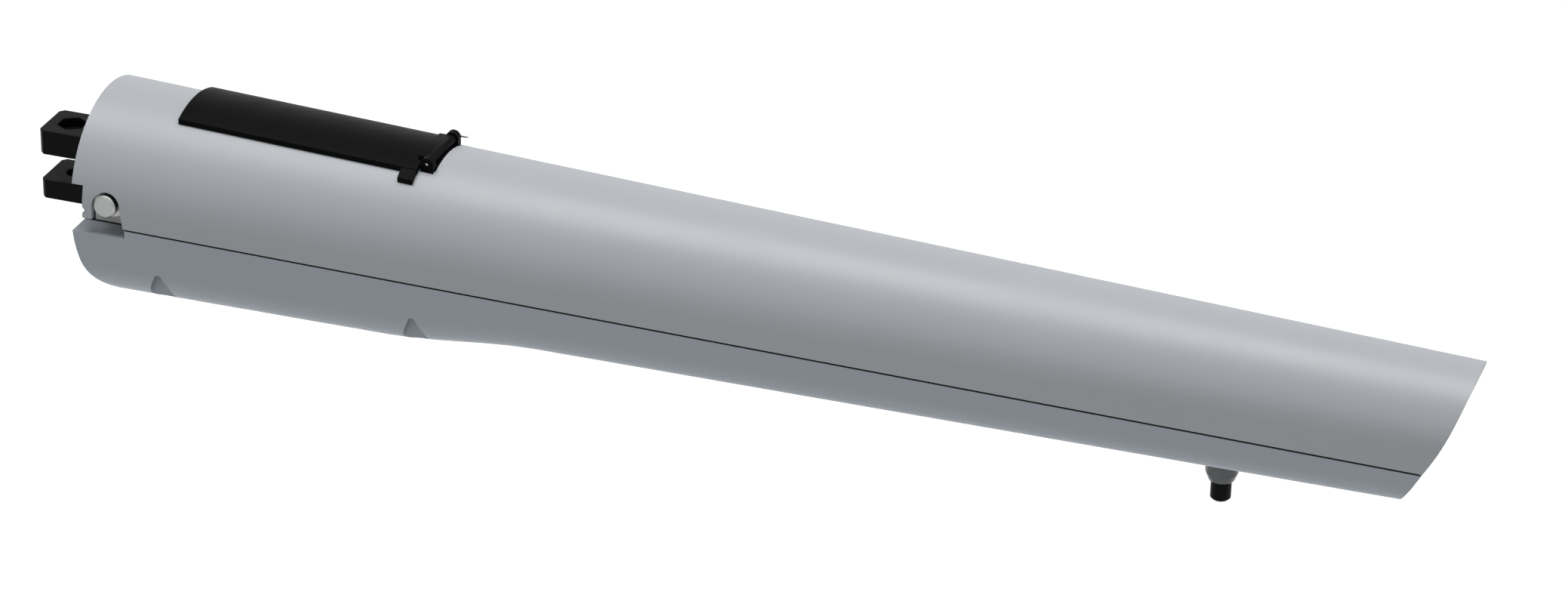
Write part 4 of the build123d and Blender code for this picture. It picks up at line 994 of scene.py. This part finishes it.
@dataclass
class DriveLine(SubAssembly):
    """Motor, gears, screw and its bearings.

    Each row of ball_rings_mm is a ring's place along X, its pitch radius, its balls' radius and their
    number. The thread's root and tip are its widths there, and loop_half_mm holds half a wire loop's
    sides.
    """

    title: str = "drive line"
    thread_crest_mm: float = 8.0
    lead_mm: float = 8.0
    screw_z_mm: float = -12.0
    thread_x_mm: Pair = (211.0, 650.0)
    thread_depth_mm: float = 1.5
    thread_root_mm: float = 4.4
    thread_tip_mm: float = 2.9
    steps_per_turn: int = 24
    ball_rings_mm: tuple[tuple[float, float, float, int], ...] = (
        (198.7, 12.5, 1.9, 13),
        (660.5, 10.0, 0.95, 20),
    )
    loop_half_mm: Triple = (6.1, 1.0, 3.1)
    end_turn_x_mm: Pair = (86.0, 130.0)
    end_turn_radius_mm: float = 10.2
    wire_radius_mm: float = 0.3
    loops: int = 72
    loop_sides: int = 20
    wire_sides: int = 6
    ball_subdivisions: int = 3

    def thread(self) -> Piece:
        """Sweeps the thread's trapezoid along a right-handed helix, which is a reversed spiral here.

        Returns:
            The thread on the screw.
        """
        inputs = {"Crest radius": "Float", "Lead": "Float", "Length": "Float", "Material": "Material"}
        tree, given = new_tree("trapezoid_thread", inputs)
        half_depth = self.thread_depth_mm / 2 * MM
        turns = add_node(
            tree, "ShaderNodeMath", None, {0: given["Length"], 1: given["Lead"]}, operation="DIVIDE"
        ).outputs["Value"]
        middle = add_node(
            tree, "ShaderNodeMath", {1: half_depth}, {0: given["Crest radius"]}, operation="SUBTRACT"
        ).outputs["Value"]
        helix = add_node(
            tree,
            "GeometryNodeCurveSpiral",
            {"Resolution": self.steps_per_turn, "Reverse": True},
            {"Rotations": turns, "Start Radius": middle, "End Radius": middle, "Height": given["Length"]},
        ).outputs["Curve"]
        upright = add_node(
            tree, "GeometryNodeSetCurveNormal", None, {"Curve": helix}, mode="Z_UP"
        ).outputs["Curve"]
        profile = add_node(
            tree,
            "GeometryNodeCurvePrimitiveQuadrilateral",
            {
                "Bottom Width": self.thread_root_mm * MM,
                "Top Width": self.thread_tip_mm * MM,
                "Height": self.thread_depth_mm * MM,
                "Offset": 0.0,
            },
            mode="TRAPEZOID",
        ).outputs["Curve"]
        swept = add_node(
            tree, "GeometryNodeCurveToMesh", {"Fill Caps": True}, {"Curve": upright, "Profile Curve": profile}
        ).outputs["Mesh"]
        close_tree(tree, swept, given["Material"])
        start, end = self.thread_x_mm
        values = {
            "Crest radius": self.thread_crest_mm * MM,
            "Lead": self.lead_mm * MM,
            "Length": (end - start) * MM,
            "Material": GROUND_STEEL.material(),
        }
        return grown("lead_screw_thread", tree, values, along_x(start, 0.0, self.screw_z_mm))

    def balls(self) -> Piece:
        """Sets a ring of balls into each bearing of the screw.

        Returns:
            Both rings of balls.
        """
        inputs = {"Pitch radius": "Float", "Ball radius": "Float", "Count": "Int", "Material": "Material"}
        tree, given = new_tree("ball_ring", inputs)
        places = {"Vertices": given["Count"], "Radius": given["Pitch radius"]}
        ring = add_node(tree, "GeometryNodeMeshCircle", None, places).outputs["Mesh"]
        ball = add_node(
            tree,
            "GeometryNodeMeshIcoSphere",
            {"Subdivisions": self.ball_subdivisions},
            {"Radius": given["Ball radius"]},
        ).outputs["Mesh"]
        set_in = add_node(
            tree, "GeometryNodeInstanceOnPoints", None, {"Points": ring, "Instance": ball}
        ).outputs["Instances"]
        close_tree(tree, set_in, given["Material"])
        rings = []
        for x, pitch, radius, count in self.ball_rings_mm:
            values = {
                "Pitch radius": pitch * MM,
                "Ball radius": radius * MM,
                "Count": count,
                "Material": GROUND_STEEL.material(),
            }
            rings.append(grown(f"ball_ring_{count}", tree, values, along_x(x, 0.0, self.screw_z_mm)))
        return joined("bearing_balls", rings)

    def windings(self) -> Piece:
        """Winds wire loops round both end turns of the armature.

        Returns:
            All the loops.
        """
        inputs = {"Middle radius": "Float", "Wire radius": "Float", "Loops": "Int", "Material": "Material"}
        tree, given = new_tree("wound_end_turns", inputs)
        places = {"Vertices": given["Loops"], "Radius": given["Middle radius"]}
        ring = add_node(tree, "GeometryNodeMeshCircle", None, places).outputs["Mesh"]
        loop = add_node(
            tree, "GeometryNodeCurvePrimitiveCircle", {"Resolution": self.loop_sides, "Radius": 1.0}
        ).outputs["Curve"]
        shaped = add_node(
            tree,
            "GeometryNodeTransform",
            {"Rotation": (math.radians(90), 0.0, 0.0), "Scale": tuple(v * MM for v in self.loop_half_mm)},
            {"Geometry": loop},
        ).outputs["Geometry"]
        wire = add_node(
            tree,
            "GeometryNodeCurvePrimitiveCircle",
            {"Resolution": self.wire_sides},
            {"Radius": given["Wire radius"]},
        ).outputs["Curve"]
        swept = add_node(
            tree, "GeometryNodeCurveToMesh", None, {"Curve": shaped, "Profile Curve": wire}
        ).outputs["Mesh"]
        step = add_node(
            tree, "ShaderNodeMath", {0: 2 * math.pi}, {1: given["Loops"]}, operation="DIVIDE"
        ).outputs["Value"]
        index = add_node(tree, "GeometryNodeInputIndex").outputs["Index"]
        angle = add_node(
            tree, "ShaderNodeMath", None, {0: index, 1: step}, operation="MULTIPLY"
        ).outputs["Value"]
        turned = add_node(tree, "ShaderNodeCombineXYZ", None, {"Z": angle}).outputs["Vector"]
        copies = {"Points": ring, "Instance": swept, "Rotation": turned}
        set_in = add_node(tree, "GeometryNodeInstanceOnPoints", None, copies).outputs["Instances"]
        close_tree(tree, set_in, given["Material"])
        ends = []
        for x in self.end_turn_x_mm:
            values = {
                "Middle radius": self.end_turn_radius_mm * MM,
                "Wire radius": self.wire_radius_mm * MM,
                "Loops": self.loops,
                "Material": COPPER.material(),
            }
            ends.append(grown(f"end_turns_{int(x)}", tree, values, along_x(x, 0.0, self.screw_z_mm)))
        return joined("armature_windings", ends)

    def build(self) -> None:
        """Grows the thread, the balls and the windings."""
        self.shapes = {"thread": self.thread(), "balls": self.balls(), "windings": self.windings()}

    def dress(self) -> None:
        """Dresses the drive line."""
        self.finish_piece(self.shapes["thread"], GROUND_STEEL, "screw", "ground_steel")
        self.finish_piece(self.shapes["balls"], GROUND_STEEL, "casing", "ground_steel")
        self.finish_piece(self.shapes["windings"], COPPER, "motor_rotor", "copper")
        self.painted(
            "motor_can", "motor_flange", "motor_end_cap", "motor_bearings", "motor_magnets", "armature",
            "commutator", "brush_holders", "carbon_brushes", "motor_shaft", "motor_pinion", "motor_saddle",
            "gearbox_case", "gearbox_lid", "lid_screws", "case_screws", "layshaft", "first_wheel",
            "second_pinion", "layshaft_bushes", "output_gear", "gear_bush", "lead_screw",
            "bearing_inner_rings", "rear_bearing", "front_bearing", "front_block", "front_block_screws",
        )


@dataclass
class Guide(SubAssembly):
    """Rail, stops and the carriage with its front pin."""

    title: str = "guide"

    def dress(self) -> None:
        """Dresses the rail, the carriage, the pin and its collar."""
        self.painted("guide_rail", finish=DRAWN_ALUMINIUM)
        self.painted("rail_screws", "travel_stops", "stop_screws", "stop_buffers", "slot_seals")
        self.painted("carriage", "bronze_nut", "slide_shoes")
        self.dressed("front_pin", 0.15)
        # The collar's dark colour is a painted dark reflection.
        self.dressed("pin_collar", 0.25, ZINC_DARK_REFLECTION)


@dataclass(frozen=True)
class Lamp:
    """One rectangular soft lamp: its place and its sides in metres, and its power in watts."""

    name: str
    place: Triple
    sides: Pair
    watts: float


@dataclass(frozen=True)
class Studio:
    """Camera, pale floor and soft lamps.

    The camera's turn, tilt and roll are in degrees, and focal_px is its focal length in the picture's
    own pixels, of which frame_px lie across it.
    """

    focal_px: float = 7000.0
    frame_px: float = 2078.0
    distance_mm: float = 2529.0
    turn: float = 18.83
    tilt: float = 27.20
    roll: float = 1.15
    target_mm: Triple = (358.57, 0.0, 0.8)
    shift_mm: Pair = (15.5, -8.9)
    sensor_mm: float = 36.0
    seen_m: Pair = (0.1, 30.0)
    floor_z: float = -0.36
    floor_half: float = 6.0
    floor_grey: float = 0.86
    floor_glow: float = 0.42
    surround_hex: str = "#F4F6F8"
    surround_strength: float = 0.3
    lit_point: Triple = (0.36, 0.0, 0.0)
    lamps: tuple[Lamp, ...] = (
        Lamp("top_softbox", (0.35, 0.05, 1.6), (2.4, 0.9), 34.0),
        Lamp("front_fill", (0.8, -2.2, 0.9), (1.6, 1.2), 5.0),
    )

    def camera(self) -> None:
        """Places the camera at the picture's viewing angle."""
        turn, tilt, roll = (math.radians(v) for v in (self.turn, self.tilt, self.roll))
        back = Vector((math.sin(turn) * math.cos(tilt), -math.cos(turn) * math.cos(tilt), math.sin(tilt)))
        level = Vector((math.cos(turn), math.sin(turn), 0.0))
        above = back.cross(level)
        right = level * math.cos(roll) + above * math.sin(roll)
        up = above * math.cos(roll) - level * math.sin(roll)
        away = back * self.distance_mm + right * self.shift_mm[0] + up * self.shift_mm[1]
        eye = mm(*self.target_mm) + away * MM
        lens = bpy.data.cameras.new("studio_camera")
        lens.sensor_width = self.sensor_mm
        lens.lens = self.sensor_mm * self.focal_px / self.frame_px
        lens.clip_start, lens.clip_end = self.seen_m
        camera = bpy.data.objects.new("studio_camera", lens)
        turned = Matrix((right, up, back)).transposed().to_4x4()
        camera.matrix_world = Matrix.Translation(eye) @ turned
        bpy.context.scene.collection.objects.link(camera)
        bpy.context.scene.camera = camera

    def hang(self, lamp: Lamp) -> None:
        """Adds one lamp aimed at the object's middle.

        Args:
            lamp: The lamp to hang.
        """
        data = bpy.data.lights.new(lamp.name, "AREA")
        data.shape = "RECTANGLE"
        data.size, data.size_y = lamp.sides
        data.energy = lamp.watts
        made = bpy.data.objects.new(lamp.name, data)
        made.location = lamp.place
        aim = Vector(self.lit_point) - Vector(lamp.place)
        made.rotation_euler = aim.to_track_quat("-Z", "Y").to_euler()
        bpy.context.scene.collection.objects.link(made)

    def seen_white(self, tree: Tree) -> Socket:
        """Picks out the rays that see the white background.

        Args:
            tree: Tree that gets the nodes.

        Returns:
            Factor that is 1 for camera, glossy and transmission rays.
        """
        path = add_node(tree, "ShaderNodeLightPath").outputs
        seen = path["Is Camera Ray"]
        for ray in ("Is Glossy Ray", "Is Transmission Ray"):
            both = add_node(tree, "ShaderNodeMath", None, {0: seen, 1: path[ray]}, operation="MAXIMUM")
            seen = both.outputs["Value"]
        return seen

    def world(self) -> None:
        """Soft surrounding light with a white background for the camera."""
        world = bpy.data.worlds.new("studio")
        world.use_nodes = True
        tree = world.node_tree
        tree.nodes.clear()
        dim = {"Color": linear(self.surround_hex), "Strength": self.surround_strength}
        light = add_node(tree, "ShaderNodeBackground", dim)
        white = add_node(tree, "ShaderNodeBackground", {"Color": linear("#FFFFFF"), "Strength": 1.0})
        links = {0: self.seen_white(tree), 1: light.outputs[0], 2: white.outputs[0]}
        mixed = add_node(tree, "ShaderNodeMixShader", None, links)
        add_node(tree, "ShaderNodeOutputWorld", None, {"Surface": mixed.outputs[0]})
        bpy.context.scene.world = world

    def floor(self) -> None:
        """Plain pale floor that keeps the object's soft shadow."""
        mesh = bpy.data.meshes.new("pale_floor")
        signs = ((-1, -1), (1, -1), (1, 1), (-1, 1))
        corners = [(x * self.floor_half, y * self.floor_half, self.floor_z) for x, y in signs]
        mesh.from_pydata(corners, [], [(0, 1, 2, 3)])
        material = bpy.data.materials.new("pale_floor")
        material.use_nodes = True
        tree = material.node_tree
        tree.nodes.clear()
        matt = add_node(tree, "ShaderNodeBsdfDiffuse", {"Color": (*(self.floor_grey,) * 3, 1.0)})
        glow = add_node(tree, "ShaderNodeEmission", {"Strength": self.floor_glow})
        lifted = add_node(tree, "ShaderNodeAddShader", None, {0: matt.outputs[0], 1: glow.outputs[0]})
        links = {0: self.seen_white(tree), 1: matt.outputs[0], 2: lifted.outputs[0]}
        mixed = add_node(tree, "ShaderNodeMixShader", None, links)
        add_node(tree, "ShaderNodeOutputMaterial", None, {"Surface": mixed.outputs[0]})
        mesh.materials.append(material)
        floor = bpy.data.objects.new("pale_floor", mesh)
        bpy.context.scene.collection.objects.link(floor)

    def build(self) -> None:
        """Builds camera, world, lamps and floor."""
        self.camera()
        self.world()
        self.floor()
        for lamp in self.lamps:
            self.hang(lamp)
        bpy.context.scene.view_settings.view_transform = "Standard"


def main() -> None:
    """Builds the studio and each sub-assembly in order."""
    logging.basicConfig(level=logging.INFO, format="%(name)s %(message)s")
    Studio().build()
    for assembly in (Housing(), RearEnd(), ReleaseCap(), DriveLine(), Guide()):
        assembly.build()
        assembly.dress()


if __name__ == "__main__":
    main()
